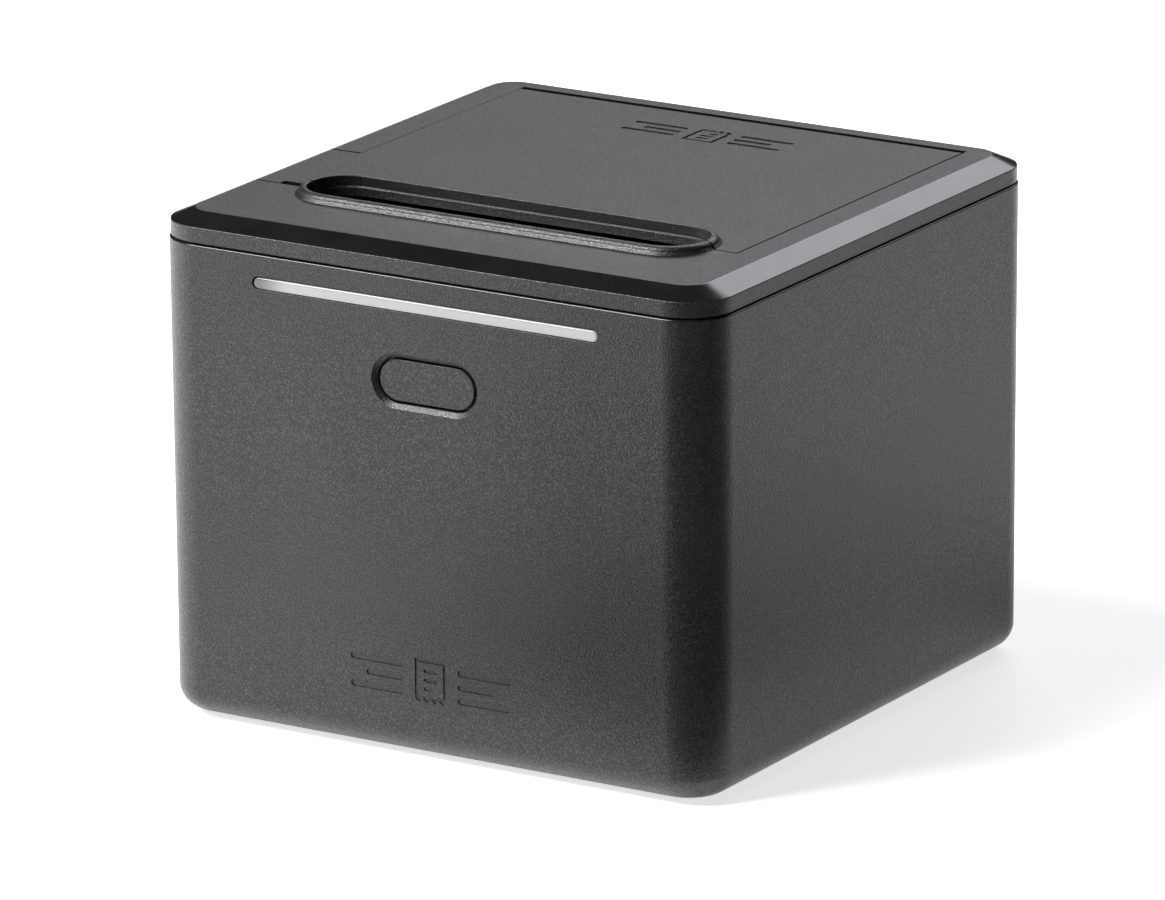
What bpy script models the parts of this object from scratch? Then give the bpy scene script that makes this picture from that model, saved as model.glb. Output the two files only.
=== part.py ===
"""Cube-shaped receipt printer for 80 mm paper, modelled as an assembly of separate pieces.

All sizes are in millimetres and are turned into metres when a mesh is made.
X runs to the printer's right, -Y is the front, +Z is up, and the origin is on the
table under the middle of the case.
"""

import math

import bmesh
import bpy

MM = 0.001

# Case
WIDTH = 140.0
DEPTH = 142.1
CORNER_RADIUS = 11.2
CASE_BOTTOM = 1.0
CASE_TOP = 107.8
CASE_DRAFT = 0.47
BOTTOM_RADIUS = 5.5
WALL = 2.5
TONGUE_INSET = 1.3
TONGUE_TOP = 109.6
FLANGE_INSET = 8.5
FLANGE_TOP = 3.5

# Lid: the bezel and the paper cover share one outline
LID_BOTTOM = 108.2
LID_INSET = 0.25
CHAMFER_BOTTOM = 111.64
CHAMFER_INSET = 5.7
LID_TOP = 114.0
LID_SKIN = 111.5
LID_WALL = 2.8

# Paper cover outline and the gap round it
COVER_LEFT = -56.8
COVER_RIGHT = 57.4
COVER_FRONT = -37.2
COVER_BACK = 59.5
OPENING_BACK = 61.4
TAB_BACK = -7.35
SEAM = 0.3

# Paper slot and its raised ring, a stadium in plan
SLOT_Y = -37.35
SLOT_HALF = 41.1
RING_BASE_RADIUS = 10.8
RING_TOP_RADIUS = 9.7
RING_INNER_RADIUS = 8.57
RING_TOP = 115.7
LEDGE_Z = 113.3
LEDGE_RADIUS = 8.07

# Hinge of the paper cover
HINGE_Y = 55.0
HINGE_Z = 109.0
HINGE_RADIUS = 2.2
HINGE_PIN_RADIUS = 1.25
BORE_GAP = 0.3

# Feed button and light bar on the front
BUTTON_Z = 84.67
BUTTON_HALF = 7.32
BUTTON_RADIUS = 4.65
BUTTON_HOLE_RADIUS = 5.1
BUTTON_FACE_Y = -70.05
LIGHT_Z = 101.6
LIGHT_HALF = 42.07
LIGHT_RADIUS = 1.26

# Platen and print head
PLATEN_Y = -30.0
PLATEN_Z = 98.0
PLATEN_RADIUS = 6.0
SHAFT_RADIUS = 2.5
BUSH_RADIUS = 4.0
HEAD_TILT = math.radians(15.0)
HEAD_GAP = 0.25

# Feed gears, axes along X
FEED_MODULE = 0.6
PLATEN_TEETH = 18
PLATEN_PHASE = 0.0
IDLER_TEETH = 48
PINION_TEETH = 12
FINE_TEETH = 30  # gears with this many teeth or more get straight flanks
GEAR_LOW_X = 48.6
GEAR_HIGH_X = 52.6
IDLER_Y = -34.0

# Cutter drive, axes along Z
CUTTER_X = -49.0
CUTTER_Y = -49.0
RACK_MODULE = 0.8
RACK_PINION_TEETH = 10
WHEEL_MODULE = 0.6
WHEEL_TEETH = 36
CUTTER_MOTOR_TEETH = 10
CUTTER_MOTOR_X = -57.2
BLADE_STROKE = 12.0
BLADE_LOW = 106.5
BLADE_HIGH = 107.5
GUIDE_PIN_Y = -46.0

# Paper bucket and metal side plates
BAY_Y = 17.0
BAY_Z = 58.0
BAY_RADIUS = 41.5
BAY_HALF_WIDTH = 41.5
BUCKET_WALL = 2.0
DECK_LOW = 101.0
DECK_HIGH = 103.0
DECK_FRONT = -11.0
PLATE_LOW_X = 45.0
PLATE_HIGH_X = 47.0
PLATE_TOP = 100.6

# Underside
BASE_LOW = 1.2
FOOT_X = 53.0
FOOT_Y = 54.0
FOOT_RADIUS = 4.5
SCREW_X = 52.0
SCREW_ROWS = (-44.0, -20.0)

# Rear sockets: name, centre x, half width, height, half mouth width, mouth height
SOCKET_BASE_Z = 9.4
SOCKET_BACK_Y = 52.0
SOCKET_FLOOR_Y = 60.0
SOCKET_MOUTH_Y = 70.2
SOCKETS = (
    ("usb_socket", -18.0, 6.0, 11.0, 4.4, 8.0),
    ("ethernet_socket", 8.0, 8.0, 13.6, 6.0, 7.6),
    ("drawer_socket", 34.0, 6.8, 13.2, 4.9, 7.0),
)
POWER_X = -46.0
POWER_HALF = 8.0
POWER_HEIGHT = 14.4
POWER_MOUTH_RADIUS = 5.2

# Finishes: linear base colour, roughness and metallic
FINISHES = {
    "case_plastic": ((0.045, 0.044, 0.045), 0.55, 0.0),
    "cover_plastic": ((0.050, 0.049, 0.050), 0.52, 0.0),
    "button_plastic": ((0.040, 0.040, 0.042), 0.5, 0.0),
    "inner_plastic": ((0.03, 0.03, 0.032), 0.6, 0.0),
    "light_guide": ((0.80, 0.80, 0.82), 0.35, 0.0),
    "gear_plastic": ((0.75, 0.74, 0.70), 0.45, 0.0),
    "rubber": ((0.02, 0.02, 0.02), 0.85, 0.0),
    "steel": ((0.55, 0.56, 0.58), 0.35, 1.0),
    "zinc_plate": ((0.50, 0.51, 0.52), 0.45, 1.0),
    "aluminium": ((0.62, 0.63, 0.64), 0.4, 1.0),
    "ceramic": ((0.70, 0.66, 0.58), 0.4, 0.0),
    "circuit_board": ((0.02, 0.16, 0.07), 0.5, 0.0),
    "brass": ((0.60, 0.45, 0.20), 0.4, 1.0),
}


def clear_scene():
    for item in list(bpy.data.objects):
        bpy.data.objects.remove(item, do_unlink=True)


def material(name):
    found = bpy.data.materials.get(name)
    if found:
        return found
    colour, roughness, metallic = FINISHES[name]
    made = bpy.data.materials.new(name)
    made.use_nodes = True
    shader = made.node_tree.nodes["Principled BSDF"]
    shader.inputs["Base Color"].default_value = (*colour, 1.0)
    shader.inputs["Roughness"].default_value = roughness
    shader.inputs["Metallic"].default_value = metallic
    return made


# Outlines, as lists of (a, b) pairs in millimetres

def arc(centre, radius, start, end, steps):
    points = []
    for step in range(steps + 1):
        angle = math.radians(start + (end - start) * step / steps)
        points.append((centre[0] + radius * math.cos(angle), centre[1] + radius * math.sin(angle)))
    return points


def circle(centre, radius, steps=24):
    return arc(centre, radius, 0.0, 360.0, steps)[:-1]


def rectangle(low, high):
    return [(low[0], low[1]), (high[0], low[1]), (high[0], high[1]), (low[0], high[1])]


def rounded_rectangle(half_a, half_b, radius, steps=6):
    points = []
    corners = ((1, -1, -90), (1, 1, 0), (-1, 1, 90), (-1, -1, 180))
    for side_a, side_b, start in corners:
        centre = (side_a * (half_a - radius), side_b * (half_b - radius))
        points += arc(centre, radius, start, start + 90, steps)
    return points


def stadium(centre, half, radius, steps=10):
    right = arc((centre[0] + half, centre[1]), radius, -90, 90, steps)
    left = arc((centre[0] - half, centre[1]), radius, 90, 270, steps)
    return right + left


def case_outline(inset):
    return rounded_rectangle(WIDTH / 2 - inset, DEPTH / 2 - inset, CORNER_RADIUS - inset)


def involute(angle):
    return math.tan(angle) - angle


def gear_outline(centre, teeth, module, phase, backlash=0.2, addendum=0.85):
    """Involute teeth, with one tooth centred on the angle phase (radians)."""
    pressure = math.radians(20.0)
    pitch = teeth * module / 2
    base = pitch * math.cos(pressure)
    tip = pitch + addendum * module
    root = pitch - 1.3 * module
    half = math.pi / (2 * teeth) - backlash / (4 * pitch)
    start = max(base, root + 0.02)
    flank = [start, pitch, tip] if teeth < FINE_TEETH else [start, tip]
    turns = []
    for radius in flank:
        turns.append(half + involute(pressure) - involute(math.acos(base / radius)))
    profile = [(root, -turns[0])]
    profile += [(radius, -turn) for radius, turn in zip(flank, turns)]
    profile += [(radius, turn) for radius, turn in zip(reversed(flank), reversed(turns))]
    profile += [(root, turns[0])]
    points = []
    for tooth in range(teeth):
        middle = phase + tooth * math.tau / teeth
        for radius, turn in profile:
            angle = middle + turn
            points.append((centre[0] + radius * math.cos(angle), centre[1] + radius * math.sin(angle)))
    return points


def meshing_phase(centre, teeth, phase, other, other_teeth):
    """Phase of the other gear whose gap meets this gear's tooth on the line of centres."""
    direction = math.atan2(other[1] - centre[1], other[0] - centre[0])
    part = ((direction - phase) * teeth / math.tau) % 1.0
    return direction + math.pi - (0.5 - part) * math.tau / other_teeth


# Solids, each a bmesh in millimetres

def place(point, axis, along):
    if axis == "X":
        return (along, point[0], point[1])
    if axis == "Y":
        return (point[0], along, point[1])
    return (point[0], point[1], along)


def loft(rings, axis="Z", closed=False):
    """Skin a row of (outline, position) rings, capped at both ends or joined into a loop."""
    mesh = bmesh.new()
    rows = []
    for outline, along in rings:
        rows.append([mesh.verts.new(place(point, axis, along)) for point in outline])
    pairs = list(zip(rows, rows[1:]))
    if closed:
        pairs.append((rows[-1], rows[0]))
    else:
        mesh.faces.new(rows[0])
        mesh.faces.new(rows[-1])
    for lower, upper in pairs:
        count = len(lower)
        for index in range(count):
            following = (index + 1) % count
            mesh.faces.new((lower[index], lower[following], upper[following], upper[index]))
    bmesh.ops.recalc_face_normals(mesh, faces=mesh.faces)
    return mesh


def prism(outline, axis, low, high):
    return loft([(outline, low), (outline, high)], axis)


def block(low, high):
    return prism(rectangle(low[:2], high[:2]), "Z", low[2], high[2])


def rod(centre, radius, axis, low, high, steps=24):
    return prism(circle(centre, radius, steps), axis, low, high)


def tube(centre, outer, inner, axis, low, high, steps=24):
    wide = circle(centre, outer, steps)
    narrow = circle(centre, inner, steps)
    return loft([(wide, low), (wide, high), (narrow, high), (narrow, low)], axis, closed=True)


def helix(centre, radius, wire, low, high, turns, steps=12, sides=5):
    """A round-wire coil along Y, with flat ends."""
    mesh = bmesh.new()
    rows = []
    count = turns * steps
    for step in range(count + 1):
        angle = math.tau * step / steps
        along = low + wire + (high - low - 2 * wire) * step / count
        row = []
        for side in range(sides):
            turn = math.tau * side / sides
            reach = radius + wire * math.cos(turn)
            row.append(mesh.verts.new((
                centre[0] + reach * math.cos(angle),
                along + wire * math.sin(turn),
                centre[1] + reach * math.sin(angle))))
        rows.append(row)
    mesh.faces.new(rows[0])
    mesh.faces.new(rows[-1])
    for lower, upper in zip(rows, rows[1:]):
        for side in range(sides):
            following = (side + 1) % sides
            mesh.faces.new((lower[side], lower[following], upper[following], upper[side]))
    bmesh.ops.recalc_face_normals(mesh, faces=mesh.faces)
    return mesh


# Objects

def make_object(name, mesh, origin=(0.0, 0.0, 0.0)):
    bmesh.ops.translate(mesh, verts=mesh.verts, vec=[-value for value in origin])
    bmesh.ops.scale(mesh, verts=mesh.verts, vec=(MM, MM, MM))
    data = bpy.data.meshes.new(name)
    mesh.to_mesh(data)
    mesh.free()
    made = bpy.data.objects.new(name, data)
    made.location = [value * MM for value in origin]
    bpy.context.scene.collection.objects.link(made)
    return made


def add_part(name, mesh, finish, origin=(0.0, 0.0, 0.0)):
    part = make_object(name, mesh, origin)
    part.data.materials.append(material(finish))
    part.data.shade_smooth()
    part.data.set_sharp_from_angle(angle=math.radians(30))
    return part


def combine(part, mesh, operation):
    """Cut, join or keep the common volume with a hidden helper solid."""
    helper = make_object(f"{part.name}_helper_{len(part.modifiers)}", mesh)
    helper.hide_render = True
    helper.display_type = "WIRE"
    change = part.modifiers.new(operation.lower(), "BOOLEAN")
    change.operation = operation
    change.solver = "EXACT"
    change.object = helper


def cut(part, *meshes):
    for mesh in meshes:
        combine(part, mesh, "DIFFERENCE")


def join(part, *meshes):
    for mesh in meshes:
        combine(part, mesh, "UNION")


# Case

def build_body_shell():
    rings = [(case_outline(FLANGE_INSET), FLANGE_TOP), (case_outline(FLANGE_INSET), CASE_BOTTOM)]
    for step in range(5):
        angle = math.radians(90 * step / 4)
        inset = CASE_DRAFT + BOTTOM_RADIUS * (1 - math.sin(angle))
        rings.append((case_outline(inset), CASE_BOTTOM + BOTTOM_RADIUS * (1 - math.cos(angle))))
    rings.append((case_outline(0.0), CASE_TOP))
    rings.append((case_outline(TONGUE_INSET), CASE_TOP))
    rings.append((case_outline(TONGUE_INSET), TONGUE_TOP))
    rings.append((case_outline(WALL), TONGUE_TOP))
    rings.append((case_outline(WALL + CASE_DRAFT), 8.0))
    rings.append((case_outline(WALL + CASE_DRAFT + 2.0), FLANGE_TOP))
    shell = add_part("body_shell", loft(rings, closed=True), "case_plastic")
    cut(shell, prism(stadium((0, LIGHT_Z), LIGHT_HALF, LIGHT_RADIUS + 0.25), "Y", -73.0, -67.0))
    cut(shell, button_well())
    cut(shell, finger_groove())
    for _, middle, half, height, _, _ in SOCKETS:
        cut(shell, rear_window(middle, half, height))
    cut(shell, rear_window(POWER_X, POWER_HALF, POWER_HEIGHT))


def button_well():
    """A countersunk stadium hole, flaring at 45 degrees from just behind the button's face."""
    flare_y = BUTTON_FACE_Y
    mouth_y = -71.6
    hole = stadium((0, BUTTON_Z), BUTTON_HALF, BUTTON_HOLE_RADIUS)
    mouth = stadium((0, BUTTON_Z), BUTTON_HALF, BUTTON_HOLE_RADIUS + flare_y - mouth_y)
    return loft([(mouth, mouth_y), (hole, flare_y), (hole, -67.0)], "Y")


def finger_groove():
    """A slanted nail groove in the left wall, under the cover's pull tab."""
    outline = [(-71.5, 99.0), (-68.9, 104.5), (-68.9, 109.0), (-71.5, 109.0)]
    return prism(outline, "Y", -32.0, -13.0)


def rear_window(middle, half, height):
    low = (middle - half - SEAM, 66.0, SOCKET_BASE_Z - SEAM)
    high = (middle + half + SEAM, 73.0, SOCKET_BASE_Z + height + SEAM)
    return block(low, high)


def build_base_plate():
    lower = case_outline(FLANGE_INSET + SEAM)
    upper = case_outline(WALL + CASE_DRAFT + 2.4)
    rings = [(lower, BASE_LOW), (lower, 3.8), (upper, 3.8), (upper, 5.3)]
    plate = add_part("base_plate", loft(rings), "inner_plastic")
    for side_x in (-1, 1):
        for side_y in (-1, 1):
            centre = (side_x * FOOT_X, side_y * FOOT_Y)
            cut(plate, rod(centre, FOOT_RADIUS + SEAM, "Z", 0.0, 2.3))
        for row in SCREW_ROWS:
            centre = (side_x * SCREW_X, row)
            cut(plate, loft([(circle(centre, 3.0), 0.0), (circle(centre, 3.0), 3.2),
                             (circle(centre, 1.8), 3.2), (circle(centre, 1.8), 6.0)]))


def build_feet():
    for side_x, side_name in ((-1, "left"), (1, "right")):
        for side_y, end_name in ((-1, "front"), (1, "rear")):
            centre = (side_x * FOOT_X, side_y * FOOT_Y)
            rings = [(circle(centre, FOOT_RADIUS - 0.4), 0.0), (circle(centre, FOOT_RADIUS), 0.4),
                     (circle(centre, FOOT_RADIUS), 2.0)]
            add_part(f"foot_{end_name}_{side_name}", loft(rings), "rubber")


def build_base_screws():
    for side_x, side_name in ((-1, "left"), (1, "right")):
        for row, row_name in zip(SCREW_ROWS, ("front", "rear")):
            centre = (side_x * SCREW_X, row)
            rings = [(circle(centre, 2.2), 1.5), (circle(centre, 2.6), 1.9), (circle(centre, 2.6), 2.9),
                     (circle(centre, 1.4), 2.9), (circle(centre, 1.4), 8.6)]
            add_part(f"base_screw_{row_name}_{side_name}", loft(rings), "steel")


# Lid

def lid_blank(name, finish, cavity_keep):
    """The whole lid with its chamfer and slot ring; cavity_keep is solid left under the skin."""
    low = case_outline(LID_INSET)
    rings = [(low, LID_BOTTOM), (low, CHAMFER_BOTTOM), (case_outline(CHAMFER_INSET), LID_TOP)]
    lid = add_part(name, loft(rings), finish)
    rebate = case_outline(TONGUE_INSET - SEAM)
    hollow = case_outline(LID_WALL)
    cavity = loft([(rebate, LID_BOTTOM - 2), (rebate, TONGUE_TOP + SEAM),
                   (hollow, TONGUE_TOP + SEAM), (hollow, LID_SKIN)])
    cut(lid, cavity)
    if cavity_keep:
        join(lid, cavity_keep)
    cut(lid, prism(stadium((0, SLOT_Y), SLOT_HALF, LEDGE_RADIUS + 0.6), "Z", 105.0, 118.0))
    join(lid, slot_ring())
    return lid


def slot_ring():
    def outline(radius):
        return stadium((0, SLOT_Y), SLOT_HALF, radius)
    rings = [(outline(RING_BASE_RADIUS), 112.5), (outline(RING_BASE_RADIUS), LID_TOP + 0.1),
             (outline(RING_TOP_RADIUS), RING_TOP), (outline(RING_INNER_RADIUS), RING_TOP),
             (outline(RING_INNER_RADIUS), LEDGE_Z), (outline(LEDGE_RADIUS), LEDGE_Z),
             (outline(LEDGE_RADIUS), LID_SKIN - 0.2), (outline(RING_INNER_RADIUS + 1.0), LID_SKIN - 0.2),
             (outline(RING_INNER_RADIUS + 1.0), 112.5)]
    return loft(rings, closed=True)


def build_top_bezel():
    keep = block((-59.6, -39.5, LID_BOTTOM), (60.2, 64.4, 112.0))
    bezel = lid_blank("top_bezel", "case_plastic", keep)
    opening_left = COVER_LEFT - 0.25
    opening_right = COVER_RIGHT + 0.25
    front = COVER_FRONT - SEAM
    cut(bezel, block((opening_left, front, 100.0), (opening_right, 60.4, 120.0)))
    undercut = [(OPENING_BACK, 120.0), (OPENING_BACK, 113.4), (62.1, 111.8), (62.1, 100.0),
                (50.0, 100.0), (50.0, 120.0)]
    cut(bezel, prism(undercut, "X", opening_left, opening_right))
    cut(bezel, block((-75.0, front, 111.2), (-56.0, TAB_BACK + SEAM, 120.0)))
    cut(bezel, block((-75.0, front, 100.0), (-66.2, TAB_BACK + SEAM, 120.0)))
    for side in (-1, 1):
        join(bezel, rod((side * 62.6, 60.0), 2.8, "Z", DECK_HIGH + SEAM, 112.0))


def build_paper_cover():
    cover = lid_blank("paper_cover", "cover_plastic", None)
    region = [(COVER_RIGHT, COVER_FRONT), (COVER_RIGHT, COVER_BACK), (COVER_LEFT, COVER_BACK),
              (COVER_LEFT, TAB_BACK), (-75.0, TAB_BACK), (-75.0, COVER_FRONT)]
    combine(cover, prism(region, "Z", 100.0, 120.0), "INTERSECT")
    notch = block((-57.05, -38.0, 100.0), (-52.3, COVER_FRONT + 0.7, 120.0))
    cut(cover, notch)
    for side in (-1, 1):
        edges = sorted((side * 54.0, side * 55.5))
        join(cover, block((edges[0], -8.0, 106.0), (edges[1], 50.0, 112.0)))
        ends = sorted((side * 46.9, side * 52.9))
        join(cover, hinge_leaf(ends[0], ends[1], 2.2, 112.0))
        cut(cover, rod((HINGE_Y, HINGE_Z), HINGE_PIN_RADIUS + BORE_GAP, "X", ends[0] - 1, ends[1] + 1))
    move_origin(cover, (0.0, HINGE_Y, HINGE_Z))


def hinge_leaf(low, high, rear, far):
    """A hinge eye round the pin, with a web to the height far."""
    eye = arc((HINGE_Y, HINGE_Z), HINGE_RADIUS, 0, 180, 10)
    if far < HINGE_Z:
        outline = eye + [(HINGE_Y - HINGE_RADIUS, far), (HINGE_Y + rear, far), (HINGE_Y + rear, HINGE_Z - 1.4)]
    else:
        outline = [(point[0], 2 * HINGE_Z - point[1]) for point in eye]
        outline += [(HINGE_Y - HINGE_RADIUS, far), (HINGE_Y + rear, far)]
    return prism(outline, "X", low, high)


def move_origin(part, origin):
    """Put the object's origin on its joint axis without moving its mesh."""
    for vertex in part.data.vertices:
        vertex.co = [value - shift * MM for value, shift in zip(vertex.co, origin)]
    part.location = [value * MM for value in origin]


def build_hinge_pins():
    for side, name in ((-1, "left"), (1, "right")):
        ends = sorted((side * 44.2, side * 55.6))
        add_part(f"hinge_pin_{name}", rod((HINGE_Y, HINGE_Z), HINGE_PIN_RADIUS, "X", *ends), "steel")


# Front controls

def build_light_bar():
    bar = prism(stadium((0, LIGHT_Z), LIGHT_HALF, LIGHT_RADIUS), "Y", -71.25, -67.5)
    part = add_part("light_bar", bar, "light_guide")
    join(part, block((-45.5, -68.2, LIGHT_Z - 2.8), (45.5, -66.8, LIGHT_Z + 2.8)))


def build_feed_button():
    origin = (0.0, BUTTON_FACE_Y, BUTTON_Z)
    face = stadium((0, BUTTON_Z), BUTTON_HALF, BUTTON_RADIUS)
    flange = stadium((0, BUTTON_Z), BUTTON_HALF, BUTTON_HOLE_RADIUS + 0.9)
    plunger = stadium((0, BUTTON_Z), 0.2, 2.0)
    rings = [(face, BUTTON_FACE_Y), (face, -68.2), (flange, -68.2), (flange, -67.3),
             (plunger, -67.3), (plunger, -65.6)]
    add_part("feed_button", loft(rings, "Y"), "button_plastic", origin)


def build_front_boards():
    add_part("led_board", block((-44.0, -66.4, 98.9), (44.0, -65.4, 104.2)), "circuit_board")
    add_part("button_board", block((-14.0, -62.0, 76.0), (14.0, -60.8, 93.0)), "circuit_board")
    can = block((-3.0, -64.2, BUTTON_Z - 3.0), (3.0, -62.3, BUTTON_Z + 3.0))
    switch = add_part("tact_switch", can, "inner_plastic")
    join(switch, rod((0.0, BUTTON_Z), 1.7, "Y", -64.7, -63.0))


# Frame

def build_side_plates():
    for side, name in ((-1, "left"), (1, "right")):
        edges = sorted((side * PLATE_LOW_X, side * PLATE_HIGH_X))
        notch = arc((PLATEN_Y, PLATEN_Z), BUSH_RADIUS + 0.3, 360, 180, 12)
        outline = [(-12.0, 5.8), (-12.0, PLATE_TOP), (notch[0][0] + 0.4, PLATE_TOP)]
        outline += notch
        outline += [(notch[-1][0] - 0.8, PLATE_TOP), (-62.0, PLATE_TOP), (-62.0, 5.8)]
        plate = add_part(f"side_plate_{name}", prism(outline, "X", *edges), "zinc_plate")
        foot = sorted((side * (PLATE_HIGH_X - 1.0), side * 57.0))
        join(plate, block((foot[0], -60.0, 5.8), (foot[1], -14.0, 7.3)))
        holes = [rod((head_pivot()), 1.8, "X", edges[0] - 1, edges[1] + 1)]
        for row in SCREW_ROWS:
            holes.append(rod((side * SCREW_X, row), 1.7, "Z", 4.0, 9.0))
        if side > 0:
            holes.append(rod((IDLER_Y, idler_z()), 2.3, "X", edges[0] - 1, edges[1] + 1))
            holes.append(rod(feed_motor_centre(), 4.5, "X", edges[0] - 1, edges[1] + 1))
        cut(plate, *holes)


def build_crossbar():
    bar = block((-44.7, -61.5, 12.0), (44.7, -60.3, 45.0))
    part = add_part("front_crossbar", bar, "zinc_plate")
    for side in (-1, 1):
        cut(part, prism(stadium((side * 20.0, 28.0), 8.0, 5.0, 6), "Y", -63.0, -59.0))


def bucket_outline(radius, front_top, rear_top):
    floor = arc((BAY_Y, BAY_Z), radius, 180, 360, 20)
    return [(BAY_Y - radius, front_top)] + floor + [(BAY_Y + radius, rear_top)]


def build_paper_bucket():
    outer = BAY_RADIUS + BUCKET_WALL
    outline = bucket_outline(outer, 86.0, DECK_HIGH)
    outline += [(DECK_FRONT, DECK_HIGH), (DECK_FRONT, 90.0)]
    half = BAY_HALF_WIDTH + BUCKET_WALL
    bucket = add_part("paper_bucket", prism(outline, "X", -half, half), "inner_plastic")
    join(bucket, prism(deck_outline(), "Z", DECK_LOW, DECK_HIGH - 0.05))
    for side in (-1, 1):
        for low, high in ((44.0, 46.6), (53.2, 55.8)):
            ends = sorted((side * low, side * high))
            join(bucket, hinge_leaf(ends[0], ends[1], 1.5, DECK_HIGH - 0.7))
    cut(bucket, prism(bucket_outline(BAY_RADIUS, 120.0, 120.0), "X", -BAY_HALF_WIDTH, BAY_HALF_WIDTH))
    for side in (-1, 1):
        ends = sorted((side * 43.0, side * 57.0))
        cut(bucket, rod((HINGE_Y, HINGE_Z), HINGE_PIN_RADIUS + BORE_GAP, "X", *ends))


def deck_outline():
    half_x = WIDTH / 2 - WALL - 0.9
    half_y = DEPTH / 2 - WALL - 0.9
    radius = CORNER_RADIUS - WALL - 0.9
    rear = [point for point in rounded_rectangle(half_x, half_y, radius, 6) if point[1] > 0]
    return [(half_x, DECK_FRONT)] + rear + [(-half_x, DECK_FRONT)]


# Print head and platen

def head_point(along, across):
    """A point given along the head's face (upwards) and across it (towards the platen)."""
    reach = PLATEN_RADIUS + HEAD_GAP
    normal = (math.cos(HEAD_TILT), math.sin(HEAD_TILT))
    upward = (-math.sin(HEAD_TILT), math.cos(HEAD_TILT))
    return (PLATEN_Y - reach * normal[0] + along * upward[0] + across * normal[0],
            PLATEN_Z - reach * normal[1] + along * upward[1] + across * normal[1])


def head_pivot():
    return head_point(-9.5, -4.5)


def build_print_head():
    pivot = head_pivot()
    origin = (0.0, *pivot)
    ceramic = [head_point(-8.5, -1.2), head_point(-8.5, 0.0), head_point(3.2, 0.0), head_point(3.2, -1.2)]
    add_part("print_head", prism(ceramic, "X", -40.5, 40.5), "ceramic", origin)
    sink = [head_point(-11.2, -7.5), head_point(-11.2, -1.5), head_point(3.8, -1.5), head_point(3.8, -7.5)]
    heat_sink = add_part("head_heat_sink", prism(sink, "X", -42.0, 42.0), "aluminium", origin)
    cut(heat_sink, rod(pivot, 1.8, "X", -43.0, 43.0))
    add_part("head_pivot_shaft", rod(pivot, 1.5, "X", -47.5, 47.5), "steel")
    add_part("head_spring_plate", block((-44.7, -55.0, 84.5), (44.7, -53.8, 99.0)), "zinc_plate")
    for side, name in ((-1, "left"), (1, "right")):
        coil = helix((side * 24.0, 93.0), 2.6, 0.4, -53.5, -44.0, 4)
        add_part(f"head_spring_{name}", coil, "steel")


def build_platen():
    axis = (PLATEN_Y, PLATEN_Z)
    origin = (0.0, *axis)
    add_part("platen_shaft", rod(axis, SHAFT_RADIUS, "X", -49.0, 53.4), "steel", origin)
    add_part("platen_rubber", tube(axis, PLATEN_RADIUS, SHAFT_RADIUS + 0.2, "X", -41.0, 41.0, 32),
             "rubber", origin)
    outline = gear_outline(axis, PLATEN_TEETH, FEED_MODULE, PLATEN_PHASE)
    gear = add_part("platen_gear", prism(outline, "X", GEAR_LOW_X, GEAR_HIGH_X), "gear_plastic", origin)
    cut(gear, rod(axis, SHAFT_RADIUS + 0.2, "X", GEAR_LOW_X - 1, GEAR_HIGH_X + 1))
    for side, name in ((-1, "left"), (1, "right")):
        ends = sorted((side * 44.2, side * 48.2))
        add_part(f"platen_bush_{name}", tube(axis, BUSH_RADIUS, SHAFT_RADIUS + 0.2, "X", *ends), "brass")


def build_platen_holder():
    arm = arc((PLATEN_Y, PLATEN_Z), 5.0, 100, 320, 12)
    arm += [(-22.0, 97.0), (-12.5, 99.5), (-12.5, 111.2), (-24.0, 111.2), (-24.0, 103.6)]
    cross = [(-23.2, 100.0), (-14.0, 100.0), (-14.0, 104.9), (-23.2, 104.9)]
    holder = add_part("platen_holder", prism(cross, "X", -43.0, 43.0), "inner_plastic")
    for side in (-1, 1):
        ends = sorted((side * 41.8, side * 43.8))
        join(holder, prism(arm, "X", *ends))
        cut(holder, rod((PLATEN_Y, PLATEN_Z), SHAFT_RADIUS + 0.3, "X", ends[0] - 1, ends[1] + 1))
    move = (0.0, HINGE_Y, HINGE_Z)
    move_origin(holder, move)
    blade = block((-41.4, -36.8, 105.2), (41.4, -15.0, 106.2))
    add_part("fixed_blade", blade, "steel", move)


# Feed gears

def idler_z():
    reach = (PLATEN_TEETH + IDLER_TEETH) * FEED_MODULE / 2
    return PLATEN_Z - math.sqrt(reach ** 2 - (PLATEN_Y - IDLER_Y) ** 2)


def feed_motor_centre():
    reach = (PINION_TEETH + IDLER_TEETH) * FEED_MODULE / 2
    angle = math.radians(225.0)
    return (IDLER_Y + reach * math.cos(angle), idler_z() + reach * math.sin(angle))


def idler_phase():
    platen = (PLATEN_Y, PLATEN_Z)
    return meshing_phase(platen, PLATEN_TEETH, PLATEN_PHASE, (IDLER_Y, idler_z()), IDLER_TEETH)


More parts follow.
